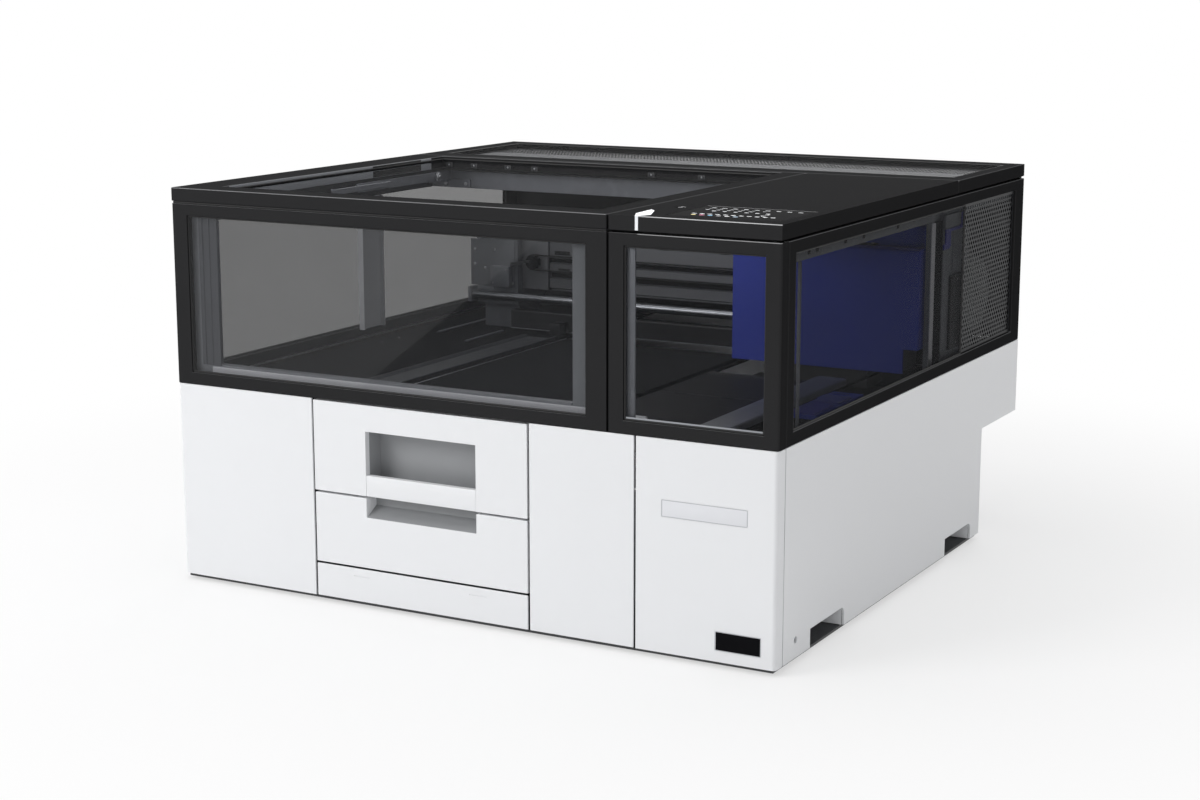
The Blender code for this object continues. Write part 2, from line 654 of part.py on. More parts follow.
def make_belt_drive():
    motor = rod("carriage_motor", (MOTOR_X, 0.2165, BELT_Z), 0.0210, 0.0550, "Y", "plastic_dark")
    round_edges(motor, 0.0010, 1)
    pulleys = []
    for name, x in (("motor_pulley", MOTOR_X), ("idler_pulley", IDLER_X)):
        wheel = rod(name, (x, BELT_Y, BELT_Z), PULLEY_R, 0.0110, "Y", "bright_steel", sides=32)
        pulleys.append(wheel)
    inner, thick = PULLEY_R + 0.0005, 0.0014
    loops = []
    for radius in (inner + thick, inner):
        loop = arc((IDLER_X, BELT_Z), radius, -90, 90, 14)
        loop += arc((MOTOR_X, BELT_Z), radius, 90, 270, 14)
        loops.append(loop)
    prism("drive_belt", loops[0], BELT_Y - 0.0040, BELT_Y + 0.0040, "Y", "rubber_black",
          holes=(loops[1],))
    return pulleys


def cover_profile(offset):
    """Side view of the carriage cover: tall front, step, and the hood that reaches over the beam."""
    front, step, back = COVER_FRONT + offset, 0.1080 + offset, 0.2620 - offset
    top_front, top = 0.4965 - offset, 0.5300 - offset
    corner, small = 0.006, 0.004
    outline = [(front, COVER_BASE)]
    outline += arc((front + small, top_front - small), small, 180, 90, 3)
    outline += [(step - small, top_front + 0.0040)]
    outline += arc((step + corner, top - corner), corner, 180, 90, 3)
    outline += arc((back - corner, top - corner), corner, 90, 0, 3)
    return outline


def make_carriage():
    shell = cover_profile(0.0) + [(0.2620, 0.4780), (0.1480, 0.4780), (0.1480, COVER_BASE)]
    cover = prism("carriage_cover", shell, COVER_LEFT, COVER_RIGHT, "X", "blue_cover")
    inside = [(y, z) for y, z in cover_profile(0.003)]
    inside[0] = (COVER_FRONT + 0.003, COVER_BASE - 0.02)
    inside += [(0.2590, 0.4700), (0.1500, 0.4700), (0.1500, COVER_BASE - 0.02)]
    cut(cover, prism("cover_inside", inside, COVER_LEFT + 0.003, COVER_RIGHT - 0.003, "X"),
        box("cover_notch", (0.4440, 0.0, 0.30), (0.50, 0.20, 0.3460)))
    frame = box("carriage_frame", (0.1900, 0.0800, 0.3300), (0.3980, 0.1440, 0.4600), "steel_black")
    join(frame, box("nozzle_block", (0.2620, 0.0860, 0.3096), (0.3780, 0.1400, 0.3310)),
         box("bush_block", (0.2000, 0.1430, 0.3440), (0.3980, 0.1760, 0.3770)),
         box("belt_clamp", (0.2800, 0.1430, 0.4250), (0.3200, 0.1715, 0.4390)))
    cut(frame, rod("shaft_bore", (0.30, SHAFT_Y, SHAFT_Z), SHAFT_R + 0.0006, 0.40, "X"))
    lamp = box("uv_lamp", (0.4030, 0.0800, 0.3100), (0.4400, 0.1400, 0.4200), "steel_grey")
    cut(lamp, box("lamp_mouth", (0.4070, 0.0850, 0.30), (0.4360, 0.1350, 0.3180)))
    return pivot("carriage", (0.31, SHAFT_Y, SHAFT_Z), cover, frame, lamp)


def make_maintenance_units():
    cap = box("cap_station", (0.2600, 0.0800, 0.2790), (0.3840, 0.1440, 0.3086), "plastic_dark")
    cut(cap, box("cap_cup", (0.2680, 0.0900, 0.3020), (0.3760, 0.1340, 0.32)))
    wiper = box("wiper_unit", (0.3970, -0.2600, 0.2658), (0.4440, -0.0850, 0.3040), "blue_cover")
    join(wiper, box("wiper_blade", (0.4060, -0.1180, 0.3030), (0.4350, -0.1140, 0.3076)))
    return cap, wiper


# Table --------------------------------------------------------------------------------------
RAIL_X = (0.0195, 0.0555)
COLUMNS_X = (-0.0600, 0.1300)
COLUMN_Y = -0.0450


def make_table():
    rail = box("table_rail", (RAIL_X[0], -0.2050, 0.1865), (RAIL_X[1], 0.4740, 0.2045), "steel_grey")
    join(rail, box("rail_leg", (RAIL_X[0], -0.2050, FLOOR_PLATE_TOP + FIT), (RAIL_X[1], -0.1650, 0.1870)))
    saddle = box("table_saddle", (-0.1200, -0.1950, 0.2050), (0.1950, 0.1100, 0.2165), "steel_grey")
    join(saddle, box("lip_left", (RAIL_X[0] - 0.0060, -0.1950, 0.1920), (RAIL_X[0] - FIT, 0.1100, 0.2060)),
         box("lip_right", (RAIL_X[1] + FIT, -0.1950, 0.1920), (RAIL_X[1] + 0.0060, 0.1100, 0.2060)))
    table = box("table_plate", (TABLE_LEFT, TABLE_FRONT, TABLE_TOP - 0.0100),
                (TABLE_RIGHT, TABLE_REAR, TABLE_TOP), "table_black")
    for x in COLUMNS_X:
        cut(saddle, rod("column_bore", (x, COLUMN_Y, 0.21), 0.0106, 0.06, "Z", sides=32))
        join(table, rod("lift_column", (x, COLUMN_Y, 0.2440), 0.0100, 0.1020, "Z", sides=32))
    pivot("table_slide", (RAIL_X[0], -0.0425, 0.2045), saddle)
    pivot("table_lift", (0.0375, COLUMN_Y, TABLE_TOP), table)


# Exhaust fan --------------------------------------------------------------------------------
FAN = (0.4500, 0.3020, 0.3850)


def make_fan():
    x, y, z = FAN
    half = 0.0440
    housing = box("fan_housing", (x - 0.0125, y - half, z - half), (x + 0.0125, y + half, z + half),
                  "plastic_dark")
    join(housing, box("fan_foot", (x - 0.0125, y - 0.030, DECK_TOP + FIT),
                      (x + 0.0125, y + 0.030, z - half + 0.001)))
    cut(housing, rod("fan_bore", (x + 0.004, y, z), 0.0410, 0.0210, "X"),
        rod("fan_draught", (x - 0.01, y, z), 0.0340, 0.05, "X"))
    join(housing, box("fan_strut", (x - 0.0125, y - 0.0400, z - 0.0040),
                      (x - 0.0095, y + 0.0400, z + 0.0040)))
    rotor = rod("fan_rotor", (x + 0.0020, y, z), 0.0180, 0.0150, "X", "plastic_dark", sides=32)
    for blade in range(7):
        turn = 2 * math.pi * blade / 7
        vane = box("fan_blade", (-0.0040, -0.0385, -0.0050), (0.0050, -0.0120, -0.0030))
        vane.location = (0, 0, 0)
        vane.matrix_world = (Matrix.Translation((x + 0.0020, y, z)) @ Matrix.Rotation(turn, 4, "X")
                             @ Matrix.Translation((0, 0.0262, 0)) @ Matrix.Rotation(0.5, 4, "Y"))
        join(rotor, vane)
    return rotor


def build():
    """Build every piece into one collection, with the shapes used for cutting kept apart."""
    global PIECES, CUTTERS
    clear_scene()
    PIECES = new_collection("flatbed_uv_printer")
    CUTTERS = new_collection("cutters")
    make_feet()
    make_base_plate()
    make_deck()
    make_drawer_bay()
    door = make_front_panels()
    pivot("access_door_hinge_line", (SEAM_RIGHT + SEAM / 2, FRONT, 0.15), door)
    make_side_panels()
    make_rear_lower_panel()
    make_power_inlet()
    make_ink_drawer()
    make_storage_drawer()
    make_side_walls()
    make_rear_upper_panel()
    make_crossbar()
    make_right_top_cover()
    make_rear_top_cover()
    make_loading_lid()
    make_lid_stay()
    make_service_door()
    make_gantry()
    make_belt_drive()
    make_carriage()
    make_maintenance_units()
    make_table()
    make_fan()


build()
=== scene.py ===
"""Looks of the flatbed UV printer: its finishes, trims, fittings and fasteners, around the fixed frame.

Metres, +Z up, front towards -Y.  A shell is (points, corners, sizes): the points of a closed surface, the
point numbers of all its faces one after the other, and the number of corners of each face.
"""

import json
import math

import bpy
import numpy as np
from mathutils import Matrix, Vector


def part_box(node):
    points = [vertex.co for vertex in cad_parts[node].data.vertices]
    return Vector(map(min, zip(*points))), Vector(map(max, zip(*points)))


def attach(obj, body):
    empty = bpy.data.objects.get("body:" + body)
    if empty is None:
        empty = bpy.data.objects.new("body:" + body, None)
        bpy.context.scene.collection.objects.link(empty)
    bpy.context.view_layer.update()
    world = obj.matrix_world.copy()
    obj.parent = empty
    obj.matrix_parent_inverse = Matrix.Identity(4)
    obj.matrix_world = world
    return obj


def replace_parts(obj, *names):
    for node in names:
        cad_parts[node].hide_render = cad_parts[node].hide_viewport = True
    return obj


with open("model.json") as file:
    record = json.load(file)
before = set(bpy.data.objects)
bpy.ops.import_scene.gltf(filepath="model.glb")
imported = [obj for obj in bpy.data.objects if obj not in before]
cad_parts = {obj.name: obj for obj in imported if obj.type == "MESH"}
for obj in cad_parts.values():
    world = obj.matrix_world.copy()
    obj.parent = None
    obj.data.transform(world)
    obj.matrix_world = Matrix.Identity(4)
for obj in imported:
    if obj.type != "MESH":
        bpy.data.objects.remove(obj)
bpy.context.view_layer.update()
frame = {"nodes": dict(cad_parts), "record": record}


def low(node):
    """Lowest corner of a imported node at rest."""
    return np.array(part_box(node)[0], float)


def high(node):
    """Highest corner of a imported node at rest."""
    return np.array(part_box(node)[1], float)


# Camera and light ---------------------------------------------------------------------------
CAMERA_SPOT = (1.5784, -2.9439, 0.9096)
CAMERA_AIM = (-0.0387, 0.0, 0.234)
LENS_MM, SENSOR_MM = 64.34, 36.0
LIGHTS = {      # name: (place, point it looks at, width and height, watts)
    "front_left_softbox": ((-2.6, -3.8, 2.6), (0.0, 0.0, 0.25), (2.4, 2.0), 98.0),
    "overhead_softbox": ((-0.2, -0.2, 3.2), (0.0, 0.0, 0.0), (2.6, 2.6), 42.0),
    "right_softbox": ((3.4, -2.6, 1.4), (0.2, 0.0, 0.3), (1.4, 1.8), 11.0),
    "rear_softbox": ((-0.6, 3.8, 2.2), (0.0, 0.0, 0.4), (3.0, 1.8), 30.0),
}


def put(name, data, spot, target):
    """Add a camera or a lamp at a spot, looking at a target."""
    obj = bpy.data.objects.new(name, data)
    obj.location = spot
    obj.rotation_euler = (Vector(target) - Vector(spot)).to_track_quat("-Z", "Y").to_euler()
    bpy.context.scene.collection.objects.link(obj)
    return obj


def make_camera():
    camera = bpy.data.cameras.new("camera")
    camera.sensor_width, camera.lens, camera.clip_end = SENSOR_MM, LENS_MM, 100.0
    bpy.context.scene.camera = put("camera", camera, CAMERA_SPOT, CAMERA_AIM)


def make_lights():
    for name, (spot, target, (wide, tall), power) in LIGHTS.items():
        light = bpy.data.lights.new(name, "AREA")
        light.shape = "RECTANGLE"
        light.size, light.size_y, light.energy = wide, tall, power
        put(name, light, spot, target)


# Shader maths -------------------------------------------------------------------------------
class Signal:
    """A value between two nodes. An operator on it adds the Math node that works it out."""

    def __init__(self, graph, socket):
        self.graph = graph
        self.socket = socket

    def math(self, operation, *values, clamp=False):
        settings = {"operation": operation, "use_clamp": clamp}
        return self.graph.node("ShaderNodeMath", settings, dict(enumerate(values)))

    def __add__(self, other):
        return self.math("ADD", self, other)

    def __radd__(self, other):
        return self.math("ADD", other, self)

    def __sub__(self, other):
        return self.math("SUBTRACT", self, other)

    def __rsub__(self, other):
        return self.math("SUBTRACT", other, self)

    def __mul__(self, other):
        return self.math("MULTIPLY", self, other)

    def __rmul__(self, other):
        return self.math("MULTIPLY", other, self)

    def __abs__(self):
        return self.math("ABSOLUTE", self)

    def __gt__(self, other):
        return self.math("GREATER_THAN", self, other)

    def __lt__(self, other):
        return self.math("LESS_THAN", self, other)

    def most(self, other):
        return self.math("MAXIMUM", self, other)

    def clamped(self):
        return self.math("ADD", self, 0.0, clamp=True)


class Graph:
    """A node tree, with one method that adds any node and gives one of its outputs."""

    def __init__(self, tree):
        self.tree = tree

    def plug(self, socket, value):
        if isinstance(value, Signal):
            self.tree.links.new(value.socket, socket)
        elif socket.type == "RGBA" and len(value) == 3:
            socket.default_value = (*value, 1.0)
        else:
            socket.default_value = value

    def node(self, kind, settings=None, values=None, output=0):
        made = self.tree.nodes.new(kind)
        settings = dict(settings or {})
        stops = settings.pop("stops", None)
        for key, value in settings.items():
            setattr(made, key, value)
        if stops:
            for element, (place, level) in zip(made.color_ramp.elements, stops):
                element.position, element.color = place, (level, level, level, 1.0)
        for key, value in (values or {}).items():
            self.plug(made.inputs[key], value)
        return Signal(self, made.outputs[output])

    def ray(self, kind):
        return self.node("ShaderNodeLightPath", output=f"Is {kind} Ray")

    def direct_view(self):
        """1 for a ray from the camera, straight or by way of gloss or glass, and 0 for light."""
        return self.ray("Camera").most(self.ray("Glossy")).most(self.ray("Transmission"))


class Finish(Graph):
    """One material, its main shader, and the patterns that can feed it."""

    def __init__(self, name, **constants):
        self.material = bpy.data.materials.new(name)
        self.material.use_nodes = True
        super().__init__(self.material.node_tree)
        self.shader = self.tree.nodes["Principled BSDF"]
        for socket, value in constants.items():
            self.vary(socket.replace("_", " "), value)

    def vary(self, socket, value):
        self.plug(self.shader.inputs[socket], value)

    def place(self, stretch=None):
        """Object coordinates, stretched along each axis."""
        spot = self.node("ShaderNodeTexCoord", output="Object")
        return self.node("ShaderNodeMapping", None, {"Vector": spot, "Scale": stretch}) if stretch else spot

    def split(self, vector):
        """The X, Y and Z of a vector."""
        return [self.node("ShaderNodeSeparateXYZ", None, {0: vector}, output=axis) for axis in "XYZ"]

    def noise(self, scale, detail=2.0, stretch=None):
        """Smooth random value near one half, with a pattern size of about 1/scale metres."""
        values = {"Vector": self.place(stretch), "Scale": scale, "Detail": detail}
        return self.node("ShaderNodeTexNoise", None, values)

    def worn_spots(self, scale, detail, stretch, start, end):
        """0 where a noise is below start, rising to 1 where it is above end."""
        return self.node("ShaderNodeValToRGB", {"stops": ((start, 0.0), (end, 1.0))},
                         {"Fac": self.noise(scale, detail, stretch)})

    def blend(self, share, first, second):
        """Colour that goes from first to second as share goes from 0 to 1."""
        return self.node("ShaderNodeMix", {"data_type": "RGBA"}, {0: share, 6: first, 7: second}, output=2)

    def bump(self, height, distance):
        self.vary("Normal", self.node("ShaderNodeBump", None, {"Height": height, "Distance": distance}))

    def mix_in(self, share, other):
        """Show another shader in place of the main one, by a share from 0 to 1."""
        main = Signal(self, self.shader.outputs[0])
        mixed = self.node("ShaderNodeMixShader", None, {0: share, 1: main, 2: other})
        self.plug(self.tree.nodes["Material Output"].inputs["Surface"], mixed)


# Finishes -----------------------------------------------------------------------------------
GLOSS_DRIFT = 0.06
MATT = {"Specular_IOR_Level": 0.1}
SATIN = {"Specular_IOR_Level": 0.2}
DULL_EDGE = (0.03, 0.03, 0.03)
DARK_METAL = {"Specular_IOR_Level": 0.0, "Specular_Tint": DULL_EDGE}
OILED_METAL = {"Specular_IOR_Level": 0.15, "Specular_Tint": DULL_EDGE}


def painted(name, colour, roughness, grain=1800.0, relief=0.00003, spread=0.06, **constants):
    """Paint or moulded plastic: fine grain in the relief, slow drift in colour and gloss."""
    finish = Finish(name, **constants)
    drift, speck = finish.noise(6.0, 3.0), finish.noise(grain)
    dark, bright = (tuple(channel * part for channel in colour) for part in (1.0 - spread, 1.0 + spread))
    finish.vary("Base Color", finish.blend(drift, dark, bright))
    finish.vary("Roughness", (drift + speck) * GLOSS_DRIFT + (roughness - GLOSS_DRIFT))
    finish.bump(speck, relief)
    return finish.material


def patterned(name, noise, dark, bright, gloss=None, relief=None, **constants):
    """Finish that follows one noise, given as (scale, detail, stretch): its colour goes from dark to
    bright, and its roughness is noise x gloss[0] + gloss[1]."""
    finish = Finish(name, **constants)
    pattern = finish.noise(*noise)
    finish.vary("Base Color", finish.blend(pattern, dark, bright))
    if gloss:
        finish.vary("Roughness", pattern * gloss[0] + gloss[1])
    if relief:
        finish.bump(pattern, relief)
    return finish.material


# Right of LID_END a painted highlight lies on two front edges: the lip of the top cover, above LIP_LEVEL,
# and the upper edge of the frame below it, within SHELF_HALF of SHELF_LEVEL.
LID_END, LIP_LEVEL, SHELF_LEVEL, SHELF_HALF = 0.284, 0.5939, 0.5711, 0.0005


def make_black_frame():
    """Black satin powder coat with a fine sandy grain, with a painted highlight where a rounded edge is
    turned
    up to the light: gleam = 2 x largest sideways part of the normal x its upward part, squared."""
    finish = Finish("black_powder_coat", Metallic=0.3, **DARK_METAL)
    east, south, up = finish.split(finish.node("ShaderNodeTexCoord", output="Normal"))
    gleam = (abs(east).most(abs(south)) * up * 2.0).clamped()
    across, _, height = finish.split(finish.place())
    # painted highlights on two front edges, set by height: the cover's lip and the frame's upper edge
    front = (south < -0.5) * (across > LID_END)
    shelf_highlight = front * (abs(height - SHELF_LEVEL) < SHELF_HALF)
    lip = front * (height > LIP_LEVEL)
    drift, speck = finish.noise(6.0, 3.0), finish.noise(2600.0)
    coat = finish.blend(drift, (0.025, 0.025, 0.026), (0.029, 0.029, 0.030))
    highlighted_coat = finish.blend(gleam * gleam, coat, (0.22, 0.222, 0.228))
    finish.vary("Base Color", finish.blend(lip + shelf_highlight * 0.5, highlighted_coat, (0.6, 0.605, 0.615)))
    finish.vary("Roughness", speck * 0.1 + 0.35)
    finish.bump(speck, 0.00004)
    return finish.material


def make_steel_grey():
    """Blue-grey painted inner steel, with faint rub marks along its edges and faces."""
    finish = Finish("grey_painted_steel", Metallic=0.25)
    rub = finish.worn_spots(60.0, 6.0, None, 0.52, 0.7)
    finish.vary("Base Color", finish.blend(rub * 0.35, (0.178, 0.187, 0.207), (0.26, 0.272, 0.296)))
    finish.vary("Roughness", finish.noise(9.0, 4.0) * 0.16 + 0.34)
    finish.bump(finish.noise(1800.0), 0.00003)
    return finish.material


def make_steel_black():
    """Black coated deck plate with dust-fine speckle and slight scuffs."""
    finish = Finish("black_deck_plate", Metallic=0.7, **DARK_METAL)
    scuff = finish.worn_spots(14.0, 8.0, (1.0, 3.0, 1.0), 0.55, 0.75)
    finish.vary("Base Color", finish.blend(scuff * 0.4, (0.04, 0.04, 0.042), (0.06, 0.061, 0.064)))
    finish.vary("Roughness", scuff * 0.12 + 0.46)
    finish.bump(finish.noise(2200.0), 0.00004)
    return finish.material


PANE_LAMP_TINT = (0.88, 0.88, 0.89)
SHEEN_GLOW, REFLECTION_RISE = 0.03, 900.0         # the painted reflection's strength, and how fast it sets in per metre
PANES = {       # pane: (share of light held back, index of refraction, painted reflection)
    "clear_pane": (0.28, 1.14, ((-0.1609, 0.3253), 0.7715)), "side_window_left": (0.52, 1.05),
    "side_window_right": (0.4, 1.02), "service_door_window": (0.18, 1.1), "lid_window": (0.1, 1.01),
    "rear_top_window": (0.1, 1.02),
}


def smoked_pane(name, density, gloss, painted_reflection=None):
    """Smoke-tinted acrylic with faint wiping smears. Lamp rays pass through, so the chamber is lit. A
    painted reflection is a pale glow over the part of the pane above a slanting line, given by (x, z) and
    its slope."""
    finish = Finish(name, IOR=gloss)
    if painted_reflection:
        (x, z), slope = painted_reflection
        across, _, up = finish.split(finish.place())
        # painted reflection: a pale glow on the pane above a slanting line
        finish.vary("Emission Strength", SHEEN_GLOW)
        finish.vary("Emission Color", ((up - across * slope - (z - x * slope)) * REFLECTION_RISE).clamped())
    smear = finish.noise(9.0, 5.0, (1.0, 1.0, 2.5))
    finish.vary("Base Color", finish.blend(smear, (0.026, 0.027, 0.029), (0.036, 0.037, 0.039)))
    finish.vary("Roughness", smear * 0.08 + 0.03)
    finish.vary("Alpha", smear * 0.03 + (density - 0.015))
    clear = finish.node("ShaderNodeBsdfTransparent", None, {"Color": PANE_LAMP_TINT})
    finish.mix_in(finish.ray("Shadow"), clear)
    return finish.material


PAINTS = {      # finish: (record's slot, colour, roughness, further values)
    "white_shell": ("white_shell", (0.835, 0.845, 0.862), 0.36, dict(grain=900.0, spread=0.008)),
    "blue_cover": ("blue_cover", (0.056, 0.084, 0.5), 0.42, dict(grain=3200.0, relief=0.00005, **SATIN)),
    "rubber_black": ("rubber_black", (0.015, 0.015, 0.0155), 0.78,
                     dict(grain=1500.0, relief=0.00008, spread=0.12)),
    "plastic_dark": ("plastic_dark", (0.03, 0.031, 0.034), 0.52,
                     dict(grain=1900.0, relief=0.00006, spread=0.08)),
    "mesh_grey": ("mesh_grey", (0.022, 0.023, 0.025), 0.42, MATT),
    # grey of the recesses: painted shade on white moulding
    "pocket_grey": ("pocket_grey", (0.33, 0.338, 0.35), 0.5,
                    dict(grain=1600.0, relief=0.00005, spread=0.03)),
    "black_oxide": ("steel_black", (0.022, 0.022, 0.024), 0.4, dict(Metallic=0.6, **OILED_METAL)),
    "graphite_track": ("plastic_dark", (0.12, 0.125, 0.14), 0.42, dict(Metallic=0.2)),
    "deck_cover_plate": ("steel_black", (0.036, 0.036, 0.039), 0.48,
                         dict(grain=2200.0, Metallic=0.5, **OILED_METAL)),
    "violet_moulding": ("blue_cover", (0.05, 0.046, 0.33), 0.42, dict(grain=3000.0)),
    "pale_violet_moulding": ("blue_cover", (0.085, 0.095, 0.36), 0.46, dict(grain=3000.0)),
    "pale_moulding": ("mesh_grey", (0.2, 0.207, 0.216), 0.5, {}),
    "liner_paint": ("steel_grey", (0.27, 0.284, 0.305), 0.42, dict(spread=0.04)),
    "trough_grey": ("steel_grey", (0.06, 0.062, 0.067), 0.45, SATIN),
    "post_paint": ("steel_grey", (0.6, 0.612, 0.635), 0.42, dict(spread=0.04)),
    # pale sill: painted light, where light from above falls on the liner's lower flange
    "pale_sill": ("bright_steel", (0.76, 0.77, 0.81), 0.38, dict(spread=0.02)),
    "roof_sheet": ("mesh_grey", (0.118, 0.122, 0.128), 0.55, MATT),
    "beam_grey": ("steel_grey", (0.2, 0.205, 0.218), 0.4, dict(Metallic=0.2)),
    "name_plate": ("white_shell", (0.775, 0.785, 0.815), 0.3, dict(spread=0.01)),
    # grey of the scoop's sheet: painted shade
    "scoop_grey": ("pocket_grey", (0.3, 0.308, 0.318), 0.5, dict(spread=0.03)),
    "plate_lip": ("white_shell", (0.56, 0.57, 0.6), 0.34, dict(spread=0.02)),
    "panel_print": ("lamp_white", (0.76, 0.77, 0.79), 0.4, dict(spread=0.03)),
    "ink_yellow": ("lamp_white", (0.8, 0.62, 0.03), 0.35, {}),
    "ink_magenta": ("lamp_white", (0.72, 0.03, 0.22), 0.35, {}),
    "ink_cyan": ("lamp_white", (0.02, 0.42, 0.72), 0.35, {}),
    "ink_black": ("lamp_white", (0.2, 0.2, 0.21), 0.35, {}),
    "ink_white": ("lamp_white", (0.8, 0.8, 0.8), 0.35, {}),
    "ink_varnish": ("lamp_white", (0.3, 0.48, 0.66), 0.35, {}),
}
PATTERNS = {    # finish: (record's slot, noise, dark, bright, gloss, relief, constant sockets)
    # anodised table top, brushed front to back
    "table_black": ("table_black", (300.0, 3.0, (6.0, 0.12, 1.0)), (0.044, 0.045, 0.048),
                    (0.058, 0.059, 0.062), (0.12, 0.4), 0.00002, dict(Metallic=0.7, **DARK_METAL)),
    # ground steel, with fine lines along X
    "bright_steel": ("bright_steel", (700.0, 3.0, (0.05, 1.0, 1.0)), (0.17, 0.175, 0.19),
                     (0.25, 0.26, 0.28), (0.14, 0.22), None, dict(Metallic=1.0)),
    "satin_aluminium": ("bright_steel", (600.0, 3.0, (0.04, 1.0, 1.0)), (0.46, 0.47, 0.5),
                        (0.6, 0.61, 0.64), (0.16, 0.3), 0.00001, dict(Metallic=1.0)),
    "dull_zinc": ("bright_steel", (600.0, 3.0), (0.3, 0.31, 0.33), (0.46, 0.47, 0.49), (0.16, 0.28),
                  0.00001, dict(Metallic=1.0)),
    # glossy touch panel, lightly smeared
    "panel_glass": ("panel_glass", (35.0, 5.0), (0.005, 0.005, 0.006), (0.009, 0.009, 0.01),
                    (0.14, 0.06), None, dict(Metallic=0.3, **DARK_METAL)),
    # milky light guide that glows a little
    "lamp_white": ("lamp_white", (220.0, 2.0), (0.8, 0.82, 0.85), (0.88, 0.9, 0.92), None, None,
                   dict(Roughness=0.3, Emission_Color=(0.9, 0.95, 1.0), Emission_Strength=0.1)),
}
FINISHES = {"black_frame": make_black_frame(), "steel_grey": make_steel_grey(),
            "steel_black": make_steel_black()}
SLOTS = {name: name for name in FINISHES}
for name, glass in PANES.items():
    FINISHES[name] = smoked_pane(name + "_acrylic", *glass)
for name, (slot, colour, roughness, values) in PAINTS.items():
    FINISHES[name], SLOTS[name] = painted(name, colour, roughness, **values), slot
for name, (slot, *values, constants) in PATTERNS.items():
    FINISHES[name], SLOTS[name] = patterned(name, *values, **constants), slot
NODE_FINISHES = {**{node: node for node in PANES}, "gantry_beam": "beam_grey",
                 "door_liner": "liner_paint", "motor_pulley": "black_oxide", "idler_pulley": "black_oxide"}


def dress_nodes():
    """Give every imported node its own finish, or the finish of its slot."""
    for part in frame["record"]["subparts"]:
        mesh = frame["nodes"][part["node"]].data
        mesh.materials.clear()
        mesh.materials.append(FINISHES[NODE_FINISHES.get(part["node"], part["material_slot"])])


# Room ---------------------------------------------------------------------------------------
WHITE_BACKGROUND = 1.0
ROOM_LIGHT = 0.42
FLOOR_HALF = 30.0
FLOOR_GLOW_NEAR = 0.56
FADE_START, FADE_END = 0.7, 1.7


def make_world():
    """Even room light. Rays from the camera, gloss and glass see a plain white background."""
    world = bpy.data.worlds.new("studio")
    bpy.context.scene.world = world
    world.use_nodes = True
    graph = Graph(world.node_tree)
    background = graph.tree.nodes["Background"].inputs
    graph.plug(background["Color"], (1.0, 1.0, 1.0))
    graph.plug(background["Strength"], graph.direct_view() * (WHITE_BACKGROUND - ROOM_LIGHT) + ROOM_LIGHT)


def make_floor():
    """Pale floor that keeps the object's soft shadow and fades into the white background.

    Share of white glow = FLOOR_GLOW_NEAR up to FADE_START metres from the middle, rising to 1 at FADE_END.
    """
    finish = Finish("pale_floor", Base_Color=(0.92, 0.92, 0.925), Roughness=0.9, **MATT)
    away = finish.node("ShaderNodeVectorMath", {"operation": "LENGTH"}, {0: finish.place()}, output="Value")
    share = finish.node("ShaderNodeMapRange", {"interpolation_type": "SMOOTHSTEP"},
                        {"Value": away, "From Min": FADE_START, "From Max": FADE_END,
                         "To Min": FLOOR_GLOW_NEAR, "To Max": 1.0})
    glow = finish.node("ShaderNodeEmission", None, {"Color": (1.0, 1.0, 1.0), "Strength": WHITE_BACKGROUND})
    finish.mix_in(finish.direct_view() * share, glow)
    mesh = bpy.data.meshes.new("floor")
    mesh.from_pydata([(x * FLOOR_HALF, y * FLOOR_HALF, 0) for x, y in ((-1, -1), (1, -1), (1, 1), (-1, 1))],
                     [], [(0, 1, 2, 3)])
    mesh.materials.append(finish.material)
    floor = bpy.data.objects.new("floor", mesh)
    bpy.context.scene.collection.objects.link(floor)


# Shapes -------------------------------------------------------------------------------------
AXES = {"X": (1, 2, 0), "Y": (0, 2, 1), "Z": (0, 1, 2)}
CORNER_TURN = np.linspace(0.0, math.pi / 2, 4)
EDGE_TURN = np.linspace(0.0, math.pi / 2, 3)
SHARP = math.radians(32)
SCREW_RADIUS, SCREW_RISE = 0.0022, 0.0011


def upright(flat, level, axis):
    """Points of an outline (the two other axes, in XYZ order) put at a level along the axis."""
    points = np.zeros(flat.shape[:-1] + (3,))
    u, v, w = AXES[axis]
    points[..., u], points[..., v], points[..., w] = flat[..., 0], flat[..., 1], level
    return points


def skin(rings, endless=False):
    """Closed surface through a stack of rings, given as (rings, points, xyz).

    Point (i, j) is joined to (i, j+1), (i+1, j+1) and (i+1, j).  The first and last rings are filled
    flat, or are joined to each other when endless.  The volume inside is a sixth of the sum of
    a . (b x c) over the triangles; where that comes out negative every face is turned over.
    """
    rings = np.asarray(rings, float)
    rows, count = rings.shape[:2]
    number = np.arange(rows * count).reshape(rows, count)
    near = number if endless else number[:-1]
    far = np.roll(number, -1, axis=0) if endless else number[1:]
    walls = np.stack([near, np.roll(near, -1, 1), np.roll(far, -1, 1), far], -1).reshape(-1, 4)
    points = rings.reshape(-1, 3)
    ends = [] if endless else [number[0][::-1], number[-1]]
    fans = [np.stack([np.full(count - 2, end[0]), end[1:-1], end[2:]], -1) for end in ends]
    triangles = np.concatenate([walls[:, [0, 1, 2]], walls[:, [0, 2, 3]]] + fans)
    a, b, c = (points - points.mean(0))[triangles].transpose(1, 0, 2)
    volume = np.einsum("ij,ij->", a, np.cross(b, c))
    corners = np.concatenate([walls.ravel(), *ends])
    sizes = np.concatenate([np.full(len(walls), 4), np.full(len(ends), count)])
    if volume < 0:
        corners, sizes = corners[::-1], sizes[::-1]
    return points, corners, sizes


def many(shell, offsets):
    """Copies of a shell, one moved by each offset."""
    points, corners, sizes = shell
    offsets = np.array(offsets, float).reshape(-1, 3)
    moved = (points + offsets[:, None]).reshape(-1, 3)
    numbers = (corners + np.arange(len(offsets))[:, None] * len(points)).ravel()
    return moved, numbers, np.tile(sizes, len(offsets))


def mirrored(shell):
    """The shell on the other side of the machine: x changes sign and every face is turned over."""
    points, corners, sizes = shell
    return points * (-1, 1, 1), corners[::-1], sizes[::-1]


